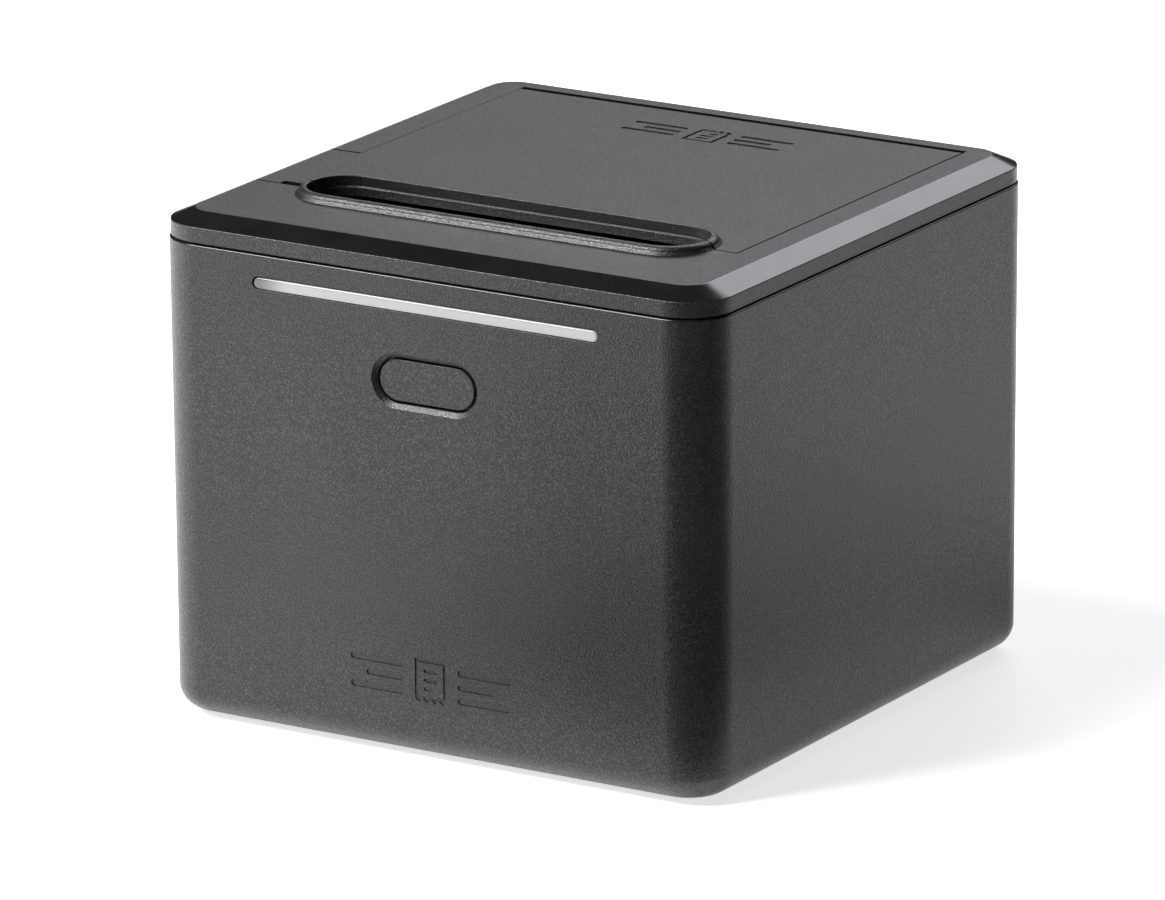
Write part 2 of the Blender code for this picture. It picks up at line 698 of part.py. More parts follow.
def build_feed_train():
    idler = (IDLER_Y, idler_z())
    motor = feed_motor_centre()
    outline = gear_outline(idler, IDLER_TEETH, FEED_MODULE, idler_phase())
    gear = add_part("idler_gear", prism(outline, "X", GEAR_LOW_X, GEAR_HIGH_X), "gear_plastic", (0.0, *idler))
    cut(gear, rod(idler, 2.2, "X", GEAR_LOW_X - 1, GEAR_HIGH_X + 1))
    add_part("idler_shaft", rod(idler, 2.0, "X", 44.6, 53.6), "steel")
    phase = meshing_phase(idler, IDLER_TEETH, idler_phase(), motor, PINION_TEETH)
    outline = gear_outline(motor, PINION_TEETH, FEED_MODULE, phase)
    pinion = add_part("feed_pinion", prism(outline, "X", GEAR_LOW_X, GEAR_HIGH_X), "brass", (0.0, *motor))
    join(pinion, rod(motor, 1.5, "X", 41.5, GEAR_HIGH_X - 1.0))
    body = [(circle(motor, 17.5, 32), 21.0), (circle(motor, 17.5, 32), 44.6)]
    motor_part = add_part("feed_motor", loft(body, "X"), "zinc_plate")
    cut(motor_part, rod(motor, 1.8, "X", 41.0, 46.0))


# Cutter

def cutter_motor_centre():
    reach = (WHEEL_TEETH + CUTTER_MOTOR_TEETH) * WHEEL_MODULE / 2
    return (CUTTER_MOTOR_X, CUTTER_Y + math.sqrt(reach ** 2 - (CUTTER_MOTOR_X - CUTTER_X) ** 2))


def build_cutter_gears():
    axis = (CUTTER_X, CUTTER_Y)
    motor = cutter_motor_centre()
    wheel = prism(gear_outline(axis, WHEEL_TEETH, WHEEL_MODULE, 0.0), "Z", 102.4, 104.2)
    gear = add_part("cutter_gear", wheel, "gear_plastic", (*axis, 0.0))
    join(gear, prism(gear_outline(axis, RACK_PINION_TEETH, RACK_MODULE, 0.0), "Z", 104.0, 106.2))
    cut(gear, rod(axis, 1.5, "Z", 101.0, 108.0, 16))
    add_part("cutter_gear_shaft", rod(axis, 1.2, "Z", 100.6, 109.8, 16), "steel")
    phase = meshing_phase(axis, WHEEL_TEETH, 0.0, motor, CUTTER_MOTOR_TEETH)
    outline = gear_outline(motor, CUTTER_MOTOR_TEETH, WHEEL_MODULE, phase)
    pinion = add_part("cutter_pinion", prism(outline, "Z", 102.4, 104.2), "brass", (*motor, 0.0))
    join(pinion, rod(motor, 1.0, "Z", 97.5, 103.0, 16))
    body = add_part("cutter_motor", rod(motor, 9.0, "Z", 76.0, 100.6, 32), "zinc_plate")
    cut(body, rod(motor, 1.3, "Z", 97.0, 102.0, 16))


def rack_outline():
    """The carrier in plan: a plate with rack teeth on the left end of its long arm."""
    pitch = math.pi * RACK_MODULE
    pitch_x = CUTTER_X + RACK_PINION_TEETH * RACK_MODULE / 2
    tip = pitch_x - 0.85 * RACK_MODULE
    root = pitch_x + 1.2 * RACK_MODULE
    slope = math.tan(math.radians(20.0))
    outline = [(-42.4, -46.0), (root, -46.0)]
    count = 7
    for tooth in range(count):
        middle = CUTTER_Y + pitch / 2 - tooth * pitch
        half = pitch / 4 - 0.06
        outline.append((root, middle + half + slope * (root - pitch_x)))
        outline.append((tip, middle + half - slope * (pitch_x - tip)))
        outline.append((tip, middle - half + slope * (pitch_x - tip)))
        outline.append((root, middle - half - slope * (root - pitch_x)))
    return outline + [(root, -64.6), (-12.0, -64.6), (-12.0, -51.0), (-42.4, -51.0)]


def build_blade():
    carrier = prism(rack_outline(), "Z", 104.6, 106.2)
    add_part("blade_carrier", carrier, "inner_plastic")
    outline = [(-44.0, -63.0), (44.3, -63.0), (44.3, -40.0), (0.0, -43.5), (-44.0, -40.0)]
    blade = add_part("moving_blade", prism(outline, "Z", BLADE_LOW, BLADE_HIGH), "steel")
    for side in (-1, 1):
        low = (side * 20.0 - 1.9, GUIDE_PIN_Y - BLADE_STROKE - 2.1, 105.0)
        high = (side * 20.0 + 1.9, GUIDE_PIN_Y + 2.1, 109.0)
        cut(blade, block(low, high))


def build_cutter_frame():
    outline = [(-66.0, -57.0), (-59.0, -65.0), (46.9, -65.0), (46.9, -42.0), (-66.0, -42.0)]
    frame = add_part("cutter_frame", prism(outline, "Z", 108.0, 109.2), "zinc_plate")
    join(frame, block((45.0, -62.0, PLATE_TOP + 0.4), (46.9, -42.0, 108.6)))
    for side in (-1, 1):
        join(frame, rod((side * 20.0, GUIDE_PIN_Y), 1.5, "Z", 106.4, 108.6, 16))
    cut(frame, rod((CUTTER_X, CUTTER_Y), 1.5, "Z", 107.0, 111.0, 16))
    plan = [(-66.0, -56.0), (-61.0, -62.0), (-38.0, -62.0), (-38.0, -39.7),
            (-50.5, -39.7), (-50.5, -29.0), (-66.0, -29.0)]
    bracket = add_part("cutter_bracket", prism(plan, "Z", 100.9, 102.1), "zinc_plate")
    for row in (-54.0, -45.0):
        join(bracket, rod((-63.6, row), 2.2, "Z", 101.5, 107.7, 16))
    cut(bracket, rod((CUTTER_X, CUTTER_Y), 1.5, "Z", 99.0, 104.0, 16))
    cut(bracket, rod(cutter_motor_centre(), 2.2, "Z", 99.0, 104.0, 16))


# Electrics

def build_main_board():
    add_part("main_board", block((-60.0, -8.0, 7.5), (60.0, 66.0, 9.1)), "circuit_board")
    add_part("buzzer", rod((-52.0, 12.0), 6.0, "Z", 9.4, 15.4), "inner_plastic")
    add_part("paper_sensor", block((14.0, -31.0, 80.0), (24.0, -27.2, 86.0)), "inner_plastic")
    add_part("cover_switch", block((47.0, -9.0, 103.4), (52.5, 1.0, 108.4)), "inner_plastic")


def build_sockets():
    for name, middle, half, height, mouth_half, mouth_height in SOCKETS:
        top = SOCKET_BASE_Z + height
        body = block((middle - half, SOCKET_BACK_Y, SOCKET_BASE_Z), (middle + half, SOCKET_MOUTH_Y, top))
        socket = add_part(name, body, "steel")
        centre = SOCKET_BASE_Z + height / 2
        low = (middle - mouth_half, SOCKET_FLOOR_Y, centre - mouth_height / 2)
        high = (middle + mouth_half, SOCKET_MOUTH_Y + 1, centre + mouth_height / 2)
        cut(socket, block(low, high))
    top = SOCKET_BASE_Z + POWER_HEIGHT
    body = block((POWER_X - POWER_HALF, SOCKET_BACK_Y, SOCKET_BASE_Z), (POWER_X + POWER_HALF, SOCKET_MOUTH_Y, top))
    power = add_part("power_socket", body, "inner_plastic")
    centre = (POWER_X, SOCKET_BASE_Z + POWER_HEIGHT / 2)
    cut(power, rod(centre, POWER_MOUTH_RADIUS, "Y", SOCKET_FLOOR_Y, SOCKET_MOUTH_Y + 1, 20))


clear_scene()
build_body_shell()
build_base_plate()
build_feet()
build_base_screws()
build_top_bezel()
build_paper_cover()
build_hinge_pins()
build_light_bar()
build_feed_button()
build_front_boards()
build_side_plates()
build_crossbar()
build_paper_bucket()
build_print_head()
build_platen()
build_platen_holder()
build_feed_train()
build_cutter_gears()
build_blade()
build_cutter_frame()
build_main_board()
build_sockets()
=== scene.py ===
"""Cube-shaped receipt printer: black grained case, chamfered lid, raised paper slot, light bar, button."""

import math

import bmesh
import bpy
from mathutils import Matrix, Vector


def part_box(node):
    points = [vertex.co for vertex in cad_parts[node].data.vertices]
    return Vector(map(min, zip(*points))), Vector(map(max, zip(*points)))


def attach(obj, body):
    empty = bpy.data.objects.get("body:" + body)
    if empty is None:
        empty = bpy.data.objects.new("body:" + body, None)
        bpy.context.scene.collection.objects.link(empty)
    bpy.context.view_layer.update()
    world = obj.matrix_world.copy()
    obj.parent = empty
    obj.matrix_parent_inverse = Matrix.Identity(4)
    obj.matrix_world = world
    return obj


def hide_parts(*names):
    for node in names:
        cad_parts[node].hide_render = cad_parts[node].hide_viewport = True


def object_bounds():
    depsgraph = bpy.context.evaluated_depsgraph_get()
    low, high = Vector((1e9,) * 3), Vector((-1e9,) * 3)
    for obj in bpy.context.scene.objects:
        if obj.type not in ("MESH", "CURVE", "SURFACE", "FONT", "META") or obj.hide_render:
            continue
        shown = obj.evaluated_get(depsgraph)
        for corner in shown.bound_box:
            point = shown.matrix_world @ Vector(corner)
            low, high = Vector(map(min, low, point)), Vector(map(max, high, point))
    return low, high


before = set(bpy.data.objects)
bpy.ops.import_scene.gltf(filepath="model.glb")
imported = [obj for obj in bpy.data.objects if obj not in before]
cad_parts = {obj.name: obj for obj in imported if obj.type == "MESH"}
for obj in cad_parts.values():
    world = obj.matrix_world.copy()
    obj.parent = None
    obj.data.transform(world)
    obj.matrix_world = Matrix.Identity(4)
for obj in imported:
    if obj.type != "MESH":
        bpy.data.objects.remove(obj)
cad_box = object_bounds()

# ---------------------------------------------------------------- camera
# A long lens from the front right and a little above, so the case's edges stay nearly parallel. The
# camera leans by a fraction of a degree.

LENS_LENGTH = 309.8
SENSOR_WIDTH = 36.0
CAMERA_SPIN = math.radians(31.611)
CAMERA_RISE = math.radians(16.338)
CAMERA_ROLL = math.radians(-0.368)
CAMERA_PLACE = (1.10465, -1.80177, 0.67206)
backward = Vector((math.sin(CAMERA_SPIN) * math.cos(CAMERA_RISE),
                   -math.cos(CAMERA_SPIN) * math.cos(CAMERA_RISE),
                   math.sin(CAMERA_RISE)))
level_right = Vector((math.cos(CAMERA_SPIN), math.sin(CAMERA_SPIN), 0.0))
level_up = backward.cross(level_right)
right = level_right * math.cos(CAMERA_ROLL) + level_up * math.sin(CAMERA_ROLL)
up = level_up * math.cos(CAMERA_ROLL) - level_right * math.sin(CAMERA_ROLL)
turned_to = Matrix((right, up, backward)).transposed().to_4x4()
lens = bpy.data.cameras.new("camera")
lens.lens = LENS_LENGTH
lens.sensor_width = SENSOR_WIDTH
lens.clip_end = 50.0
camera = bpy.data.objects.new("camera", lens)
camera.matrix_world = Matrix.Translation(CAMERA_PLACE) @ turned_to
bpy.context.scene.collection.objects.link(camera)
bpy.context.scene.camera = camera

# ---------------------------------------------------------------- studio
# A seamless white table under three soft boxes: one behind the printer, the key at the front left and
# a weak one at the left. Dark cards on the table, which only reflections see, shade the near corner and
# the right face.


def new_material(name, **constants):
    """A Principled material with its constant sockets set; underscores stand for spaces."""
    made = bpy.data.materials.new(name)
    made.use_nodes = True
    shader = made.node_tree.nodes["Principled BSDF"]
    for key, value in constants.items():
        shader.inputs[key.replace("_", " ")].default_value = value
    return made, made.node_tree, shader


FLOOR_HALF = 6.0
floor_mesh = bmesh.new()
bmesh.ops.create_grid(floor_mesh, x_segments=1, y_segments=1, size=FLOOR_HALF)
floor_data = bpy.data.meshes.new("floor")
floor_mesh.to_mesh(floor_data)
floor_mesh.free()
floor = bpy.data.objects.new("floor", floor_data)
bpy.context.scene.collection.objects.link(floor)
floor_data.materials.append(new_material(
    "white_table", Base_Color=(0.92, 0.92, 0.92, 1.0), Roughness=0.8,
    Emission_Color=(1.0, 1.0, 1.0, 1.0), Emission_Strength=0.70)[0])

CARD_INNER = 0.105
CARD_OUTER = 1.6
CARD_HEIGHT = 0.002
CARD_STEP = 6


def dark_card(name, start, end, cover):
    """A dark sector that only reflections see, from start to end in degrees from the front rightwards.
    With cover under 1 it is thin, like gauze."""
    sector = bmesh.new()
    rim = []
    for reach, angles in ((CARD_INNER, range(start, end + 1, CARD_STEP)),
                          (CARD_OUTER, range(end, start - 1, -CARD_STEP))):
        for angle in angles:
            turn = math.radians(angle)
            rim.append(sector.verts.new((reach * math.sin(turn), -reach * math.cos(turn), CARD_HEIGHT)))
    sector.faces.new(rim)
    card_data = bpy.data.meshes.new(name)
    sector.to_mesh(card_data)
    sector.free()
    card = bpy.data.objects.new(name, card_data)
    bpy.context.scene.collection.objects.link(card)
    card_data.materials.append(new_material(name, Base_Color=(0.004, 0.004, 0.004, 1.0), Roughness=1.0,
                                            Specular_IOR_Level=0.0, Alpha=cover)[0])
    card.visible_camera = False
    card.visible_diffuse = False
    card.visible_shadow = False


dark_card("black_felt", start=-13, end=113, cover=1.0)
dark_card("black_gauze", start=113, end=167, cover=0.38)


def soft_box(name, place, aim, width, height, power, tint=(1.0, 1.0, 1.0)):
    light = bpy.data.lights.new(name, "AREA")
    light.shape = "RECTANGLE"
    light.size = width
    light.size_y = height
    light.energy = power
    light.color = tint
    lamp = bpy.data.objects.new(name, light)
    lamp.location = place
    lamp.rotation_euler = (Vector(aim) - Vector(place)).to_track_quat("-Z", "Y").to_euler()
    bpy.context.scene.collection.objects.link(lamp)


soft_box("back_box", place=(-0.35, 1.72, 1.26), aim=(0, 0, 0.1), width=1.9, height=0.76, power=14.6,
         tint=(0.985, 0.985, 1.035))
soft_box("key_box", place=(-1.0, -1.0, 1.6), aim=(0, 0, 0.06), width=1.1, height=1.1, power=78.0)
soft_box("left_box", place=(-1.7, -0.5, 0.5), aim=(0, 0, 0.06), width=0.9, height=0.9, power=5.0)
ROOM_LIGHT = 0.03
room = bpy.data.worlds.new("room")
room.use_nodes = True
backdrop = room.node_tree.nodes["Background"]
backdrop.inputs["Color"].default_value = (1.0, 1.0, 1.0, 1.0)
backdrop.inputs["Strength"].default_value = ROOM_LIGHT
bpy.context.scene.world = room
bpy.context.scene.view_settings.view_transform = "Standard"

# ---------------------------------------------------------------- body shell
# One moulded sleeve of black ABS with a fine spark grain. Its side walls lean in a little towards the
# base, its corners are round, and it is cut out for the light bar, the feed button and the sockets.

MM = 0.001


class Value:
    """One socket in a material, so that shader maths reads as Python."""

    def __init__(self, tree, socket):
        self.tree = tree
        self.socket = socket

    def maths(self, operation, *others, swap=False):
        sockets = [self, *others]
        if swap:
            sockets.reverse()
        return node(self.tree, "ShaderNodeMath", dict(enumerate(sockets)), operation=operation)

    def __add__(self, other):
        return self.maths("ADD", other)

    def __mul__(self, other):
        return self.maths("MULTIPLY", other)

    def __sub__(self, other):
        return self.maths("SUBTRACT", other)

    def __rsub__(self, other):
        return self.maths("SUBTRACT", other, swap=True)

    __radd__ = __add__
    __rmul__ = __mul__


def node(tree, kind, inputs, output=0, **settings):
    """Add a node: its settings first, then the values or links of its sockets."""
    made = tree.nodes.new(kind)
    for key, value in settings.items():
        setattr(made, key, value)
    for key, value in inputs.items():
        if isinstance(value, Value):
            tree.links.new(value.socket, made.inputs[key])
        else:
            made.inputs[key].default_value = value
    return Value(tree, made.outputs[output])


def feed(shader, name, value):
    value.tree.links.new(value.socket, shader.inputs[name])


def place_in(tree):
    return node(tree, "ShaderNodeTexCoord", {}, output="Object")


def noise(tree, size, detail=2.0, rough=0.5):
    """Noise whose lumps are about size metres across."""
    return node(tree, "ShaderNodeTexNoise", {"Vector": place_in(tree), "Scale": 1.0 / size,
                                             "Detail": detail, "Roughness": rough})


def spread(value, low, high):
    """Stretch a noise value, which stays near 0.5, over low to high."""
    return node(value.tree, "ShaderNodeMapRange", {"Value": value, "From Min": 0.3, "From Max": 0.7,
                                                   "To Min": low, "To Max": high})


def blend_colours(factor, first, second):
    return node(factor.tree, "ShaderNodeMix", {"Factor": factor, "A": (*first, 1.0), "B": (*second, 1.0)},
                output="Result", data_type="RGBA")


def bump(height, strength, depth):
    return node(height.tree, "ShaderNodeBump", {"Height": height, "Strength": strength, "Distance": depth})


def arc(centre, radius, start, end, steps):
    points = []
    for step in range(steps + 1):
        angle = math.radians(start + (end - start) * step / steps)
        points.append((centre[0] + radius * math.cos(angle), centre[1] + radius * math.sin(angle)))
    return points


def rounded(half_a, half_b, radius, steps=14):
    points = []
    for side_a, side_b, start in ((1, -1, -90), (1, 1, 0), (-1, 1, 90), (-1, -1, 180)):
        centre = (side_a * (half_a - radius), side_b * (half_b - radius))
        points += arc(centre, radius, start, start + 90, steps)
    return points


def stadium(centre, half, radius, steps=24):
    return (arc((centre[0] + half, centre[1]), radius, -90, 90, steps)
            + arc((centre[0] - half, centre[1]), radius, 90, 270, steps))


AXIS_ORDER = {"X": (2, 0, 1), "Y": (0, 2, 1), "Z": (0, 1, 2)}  # where along, a and b go for each axis


def skin(rings, axis="Z", closed=False, slots=None):
    """Skin a row of (outline, position) rings in millimetres, capped or joined into a loop."""
    mesh = bmesh.new()
    rows = []
    for outline, along in rings:
        row = []
        for a, b in outline:
            spot = (a, b, along)
            row.append(mesh.verts.new([spot[index] * MM for index in AXIS_ORDER[axis]]))
        rows.append(row)
    pairs = list(zip(rows, rows[1:]))
    if closed:
        pairs.append((rows[-1], rows[0]))
    else:
        mesh.faces.new(rows[0])
        mesh.faces.new(rows[-1])
    for index, (lower, upper) in enumerate(pairs):
        for corner in range(len(lower)):
            following = (corner + 1) % len(lower)
            face = mesh.faces.new((lower[corner], lower[following], upper[following], upper[corner]))
            face.material_index = slots[index] if slots else 0
    bmesh.ops.recalc_face_normals(mesh, faces=mesh.faces)
    return mesh


def prism(outline, axis, low, high):
    return skin([(outline, low), (outline, high)], axis)


def block(low, high):
    outline = [(low[0], low[1]), (high[0], low[1]), (high[0], high[1]), (low[0], high[1])]
    return prism(outline, "Z", low[2], high[2])


def new_object(name, mesh, *materials):
    data = bpy.data.meshes.new(name)
    mesh.to_mesh(data)
    mesh.free()
    for finish in materials:
        data.materials.append(finish)
    made = bpy.data.objects.new(name, data)
    bpy.context.scene.collection.objects.link(made)
    return made


def shape(piece, mesh, operation="DIFFERENCE", slot=None):
    """Cut, join or intersect the piece with a solid, and keep the result as a plain mesh."""
    if slot is not None:
        for face in mesh.faces:
            face.material_index = slot
    tool = new_object("tool", mesh, *piece.data.materials)
    change = piece.modifiers.new("shape", "BOOLEAN")
    change.operation = operation
    change.solver = "EXACT"
    change.object = tool
    settle(piece)
    bpy.data.objects.remove(tool)


def settle(piece):
    """Replace the piece's mesh by its evaluated one and drop its modifiers."""
    graph = bpy.context.evaluated_depsgraph_get()
    result = bpy.data.meshes.new_from_object(piece.evaluated_get(graph))
    piece.modifiers.clear()
    piece.data = result


SHARP_ANGLE = math.radians(35.0)


def finish_piece(piece, body, slot, *nodes):
    """Smooth-shade with flat faces kept flat, put the piece on its body and retire the CAD nodes."""
    work = bmesh.new()
    work.from_mesh(piece.data)
    bmesh.ops.remove_doubles(work, verts=work.verts, dist=0.002 * MM)
    bmesh.ops.dissolve_degenerate(work, edges=work.edges, dist=0.001 * MM)
    work.to_mesh(piece.data)
    work.free()
    piece.data.shade_smooth()
    piece.data.set_sharp_from_angle(angle=SHARP_ANGLE)
    weigh = piece.modifiers.new("flat faces", "WEIGHTED_NORMAL")
    weigh.keep_sharp = True
    settle(piece)
    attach(piece, body)
    if nodes:
        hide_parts(*nodes)


case_low, case_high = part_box("body_shell")
HALF_X = case_high.x / MM
HALF_Y = case_high.y / MM
CASE_BOTTOM = case_low.z / MM
CASE_TOP = 107.8
TONGUE_TOP = case_high.z / MM
CORNER_RADIUS = 11.2
DRAFT = 0.47
WALL = 2.5
BOTTOM_RADIUS = 5.5
BOTTOM_STEPS = 12
EDGE = 0.35
EDGE_STEPS = 4
TONGUE_INSET = 1.3
FLANGE = 8.5
FLANGE_TOP = 3.5
FLANGE_REACH = 2.0
WALL_FOOT = 8.0


def outline_at(inset):
    return rounded(HALF_X - inset, HALF_Y - inset, CORNER_RADIUS - inset)


def round_over(inset, height, radius, start, end, steps=EDGE_STEPS):
    """Rings of a rounded edge: (inset, height) of its arc's centre, angles from outwards to up."""
    rings = []
    for step in range(steps + 1):
        angle = math.radians(start + (end - start) * step / steps)
        rings.append((outline_at(inset - radius * math.cos(angle)), height + radius * math.sin(angle)))
    return rings


def grained_plastic(name, base, grain=1.0, gloss=0.35, size=0.40):
    """Black plastic with a spark-eroded grain: fine pits, pale glinting specks and slow tone changes.
    Grain scales the relief, gloss is the mean roughness and size the pits' width in millimetres."""
    made, tree, shader = new_material(name, Specular_IOR_Level=0.45, Coat_Roughness=0.32)
    pits = noise(tree, size * MM, detail=2.0, rough=0.6)
    cloud = noise(tree, 26.0 * MM, detail=1.0)
    specks = node(tree, "ShaderNodeMapRange", {"Value": noise(tree, 0.8 * size * MM, detail=1.0),
                                               "From Min": 0.48, "From Max": 0.70})
    tone = spread(pits, 0.0, 0.5) + specks * 0.4 + spread(cloud, 0.0, 0.1)
    dark = tuple(shade * 0.1 for shade in base)
    light = tuple(shade * 3.6 for shade in base)
    feed(shader, "Base Color", blend_colours(tone, dark, light))
    feed(shader, "Roughness", spread(pits, gloss - 0.07, gloss + 0.07))
    feed(shader, "Coat Weight", specks * 0.6)
    feed(shader, "Normal", bump(pits, grain, 0.15 * MM))
    return made


def polished_plastic(name, base):
    """The same black plastic from a polished part of the mould, with only faint flow marks."""
    made, tree, shader = new_material(name, Specular_IOR_Level=0.5)
    flow = noise(tree, 9.0 * MM, detail=2.0)
    light = tuple(1.3 * shade for shade in base)
    feed(shader, "Base Color", blend_colours(spread(flow, 0.0, 1.0), base, light))
    feed(shader, "Roughness", spread(flow, 0.17, 0.22))
    feed(shader, "Normal", bump(noise(tree, 1.3 * MM), 0.06, 0.02 * MM))
    return made


case_black = grained_plastic("case_black", (0.0085, 0.0085, 0.0085))
edge_black = polished_plastic("edge_black", (0.006, 0.006, 0.0065))
# The walls inside the seams get a near-black, dull material: painted shade, darker than the case's own
# black, standing in for the shadow deep in the narrow gaps. Its noise only varies that painted shade, and
# the slot SHADOWED below carries it.
painted_seam_shade, seam_tree, seam_shader = new_material("painted_seam_shade", Specular_IOR_Level=0.15)
seam_shade_noise = noise(seam_tree, 1.5 * MM, detail=2.0)
feed(seam_shader, "Base Color", blend_colours(seam_shade_noise, (0.001, 0.001, 0.001), (0.004, 0.004, 0.004)))
feed(seam_shader, "Roughness", spread(seam_shade_noise, 0.6, 0.8))
SKIN, POLISHED, SHADOWED = range(3)  # the material slots of the case and the lid

shell_rings = [(outline_at(FLANGE), FLANGE_TOP), (outline_at(FLANGE), CASE_BOTTOM)]
for step in range(BOTTOM_STEPS + 1):
    angle = math.radians(90 * step / BOTTOM_STEPS)
    shell_rings.append((outline_at(DRAFT + BOTTOM_RADIUS * (1 - math.sin(angle))),
                        CASE_BOTTOM + BOTTOM_RADIUS * (1 - math.cos(angle))))
edge_row = len(shell_rings)
shell_rings += round_over(EDGE, CASE_TOP - EDGE, EDGE, 0, 90)
shell_rings += [(outline_at(TONGUE_INSET), CASE_TOP), (outline_at(TONGUE_INSET), TONGUE_TOP),
                (outline_at(WALL), TONGUE_TOP), (outline_at(WALL + DRAFT), WALL_FOOT),
                (outline_at(WALL + DRAFT + FLANGE_REACH), FLANGE_TOP)]
shell_slots = [SKIN] * len(shell_rings)
shell_slots[edge_row:edge_row + EDGE_STEPS] = [POLISHED] * EDGE_STEPS
shell = new_object("case_sleeve", skin(shell_rings, closed=True, slots=shell_slots),
                   case_black, edge_black, painted_seam_shade)


def middle(name):
    """The centre of a CAD node's box, in millimetres."""
    return [(low + high) / 2 / MM for low, high in zip(*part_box(name))]


LIGHT_Z = middle("light_bar")[2]
LIGHT_HALF = 42.07
LIGHT_RADIUS = 1.26
LIGHT_GAP = 0.14
FRONT_Y = -HALF_Y
CLEAR = 0.4  # how far in front of a face its cutters start
THROUGH = 4.0  # how far behind the front face its cutters end


def flared(centre, half, radius, surface, flare, depth):
    """A stadium hole along Y whose mouth is rounded by flare at the surface."""
    steps = 5
    rings = [(stadium(centre, half, radius + 1.6 * flare), surface - CLEAR)]
    for step in range(steps + 1):
        angle = math.radians(90 * step / steps)
        reach = radius + flare * (1 - math.sin(angle))
        rings.append((stadium(centre, half, reach), surface + flare * (1 - math.cos(angle))))
    rings.append((stadium(centre, half, radius), surface + depth))
    return skin(rings, "Y")


shape(shell, flared((0, LIGHT_Z), LIGHT_HALF, LIGHT_RADIUS + LIGHT_GAP, FRONT_Y + 0.03, 0.22, THROUGH))

BUTTON_Z = middle("feed_button")[2]
BUTTON_HALF = 7.32
BUTTON_HOLE = 5.08
DISH_RADIUS = 6.1
well_rings = []
for radius, depth in ((DISH_RADIUS + 0.25, -CLEAR), (DISH_RADIUS + 0.12, 0.10), (DISH_RADIUS - 0.08, 0.25),
                      (BUTTON_HOLE + 0.14, 1.0), (BUTTON_HOLE, 1.2), (BUTTON_HOLE, THROUGH)):
    well_rings.append((stadium((0, BUTTON_Z), BUTTON_HALF, radius), FRONT_Y + depth))
shape(shell, skin(well_rings, "Y"))

GROOVE_FRONT = -32.0
GROOVE_BACK = -13.0
finger_groove = [(-71.5, 99.0), (-68.9, 104.5), (-68.9, 109.0), (-71.5, 109.0)]
shape(shell, prism(finger_groove, "Y", GROOVE_FRONT, GROOVE_BACK))


def together(meshes):
    """Several separate solids in one mesh, so that one Boolean takes them all."""
    whole = bmesh.new()
    for part in meshes:
        data = bpy.data.meshes.new("part")
        part.to_mesh(data)
        part.free()
        whole.from_mesh(data)
        bpy.data.meshes.remove(data)
    return whole


def paper_mark(axis, low, high, place, turn):
    """A generic mark as shallow cutters: a paper slip with a torn foot between two sets of bars."""
    torn = [(step - 3, -4.8 if step % 2 == 0 else -4.0) for step in range(7)]
    slip = [(4.0, 4.9), (-4.0, 4.9), (-4.0, -4.0)] + torn + [(4.0, -4.0)]
    inner = [(0.80 * a, 0.84 * b + 0.05) for a, b in slip]

    def placed(outline):
        return [(place[0] + turn * a, place[1] + turn * b) for a, b in outline]

    frame_rings = [(placed(slip), low), (placed(slip), high), (placed(inner), high), (placed(inner), low)]
    cutters = [skin(frame_rings, axis, closed=True)]
    bars = [((0, 2.3), 1.3), ((0, 0.3), 1.3), ((-0.6, -1.7), 0.7)]
    for side in (-1, 1):
        bars += [((side * 13.6, 3.1), 6.0), ((side * 11.6, 0.0), 4.0), ((side * 13.6, -3.1), 6.0)]
    for centre, half in bars:
        outline = stadium(centre, half, 0.42 if abs(centre[0]) < 2 else 0.75, steps=8)
        cutters.append(prism(placed(outline), axis, low, high))
    return together(cutters)


MARK_DEPTH = 0.3
LEAN = 0.38  # how far the leaning front wall stands back at the mark
shape(shell, paper_mark("Y", FRONT_Y - 0.5, FRONT_Y + LEAN + MARK_DEPTH, (0.5, 18.4), 1))

WINDOW_GAP = 0.3
WINDOW_INNER = 66.0
WINDOW_OUTER = 73.0
for name in ("power_socket", "usb_socket", "ethernet_socket", "drawer_socket"):
    low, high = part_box(name)
    shape(shell, block((low.x / MM - WINDOW_GAP, WINDOW_INNER, low.z / MM - WINDOW_GAP),
                       (high.x / MM + WINDOW_GAP, WINDOW_OUTER, high.z / MM + WINDOW_GAP)))
finish_piece(shell, "root", "case_plastic", "body_shell")

# ---------------------------------------------------------------- lid
# The bezel and the hinged paper cover are moulded to one outline: a grained side, a polished chamfer,
# a grained top and a raised ring round the paper slot, parted along the cover's seam. The seam's walls
# are painted near-black, as painted shade.

LID_BOTTOM = 108.2
LID_INSET = 0.25
CHAMFER_BOTTOM = 111.64
CHAMFER_INSET = 5.7
LID_TOP = 114.0
LID_SKIN = 111.5
SLOT_Y = -37.35
SLOT_HALF = 41.1
RING_TOP = cad_box[1][2] / MM
RING_INNER = 8.57
LEDGE_Z = 113.3
LEDGE = 8.07
RING_FOOT = 11.3
RING_ROOT = 112.6
SWEEP = 0.4  # radius where the ring rises out of the lid
BEAD = 1.3  # radius of its outer bead
CREST = 0.22  # radius of its inner edges
NOOK = 0.12  # radius of the corner between its inner wall and ledge
COVER_LEFT = -56.8
COVER_RIGHT = 57.4
COVER_FRONT = -37.2
COVER_BACK = 59.5
TAB_BACK = -7.35
SEAM = 0.3


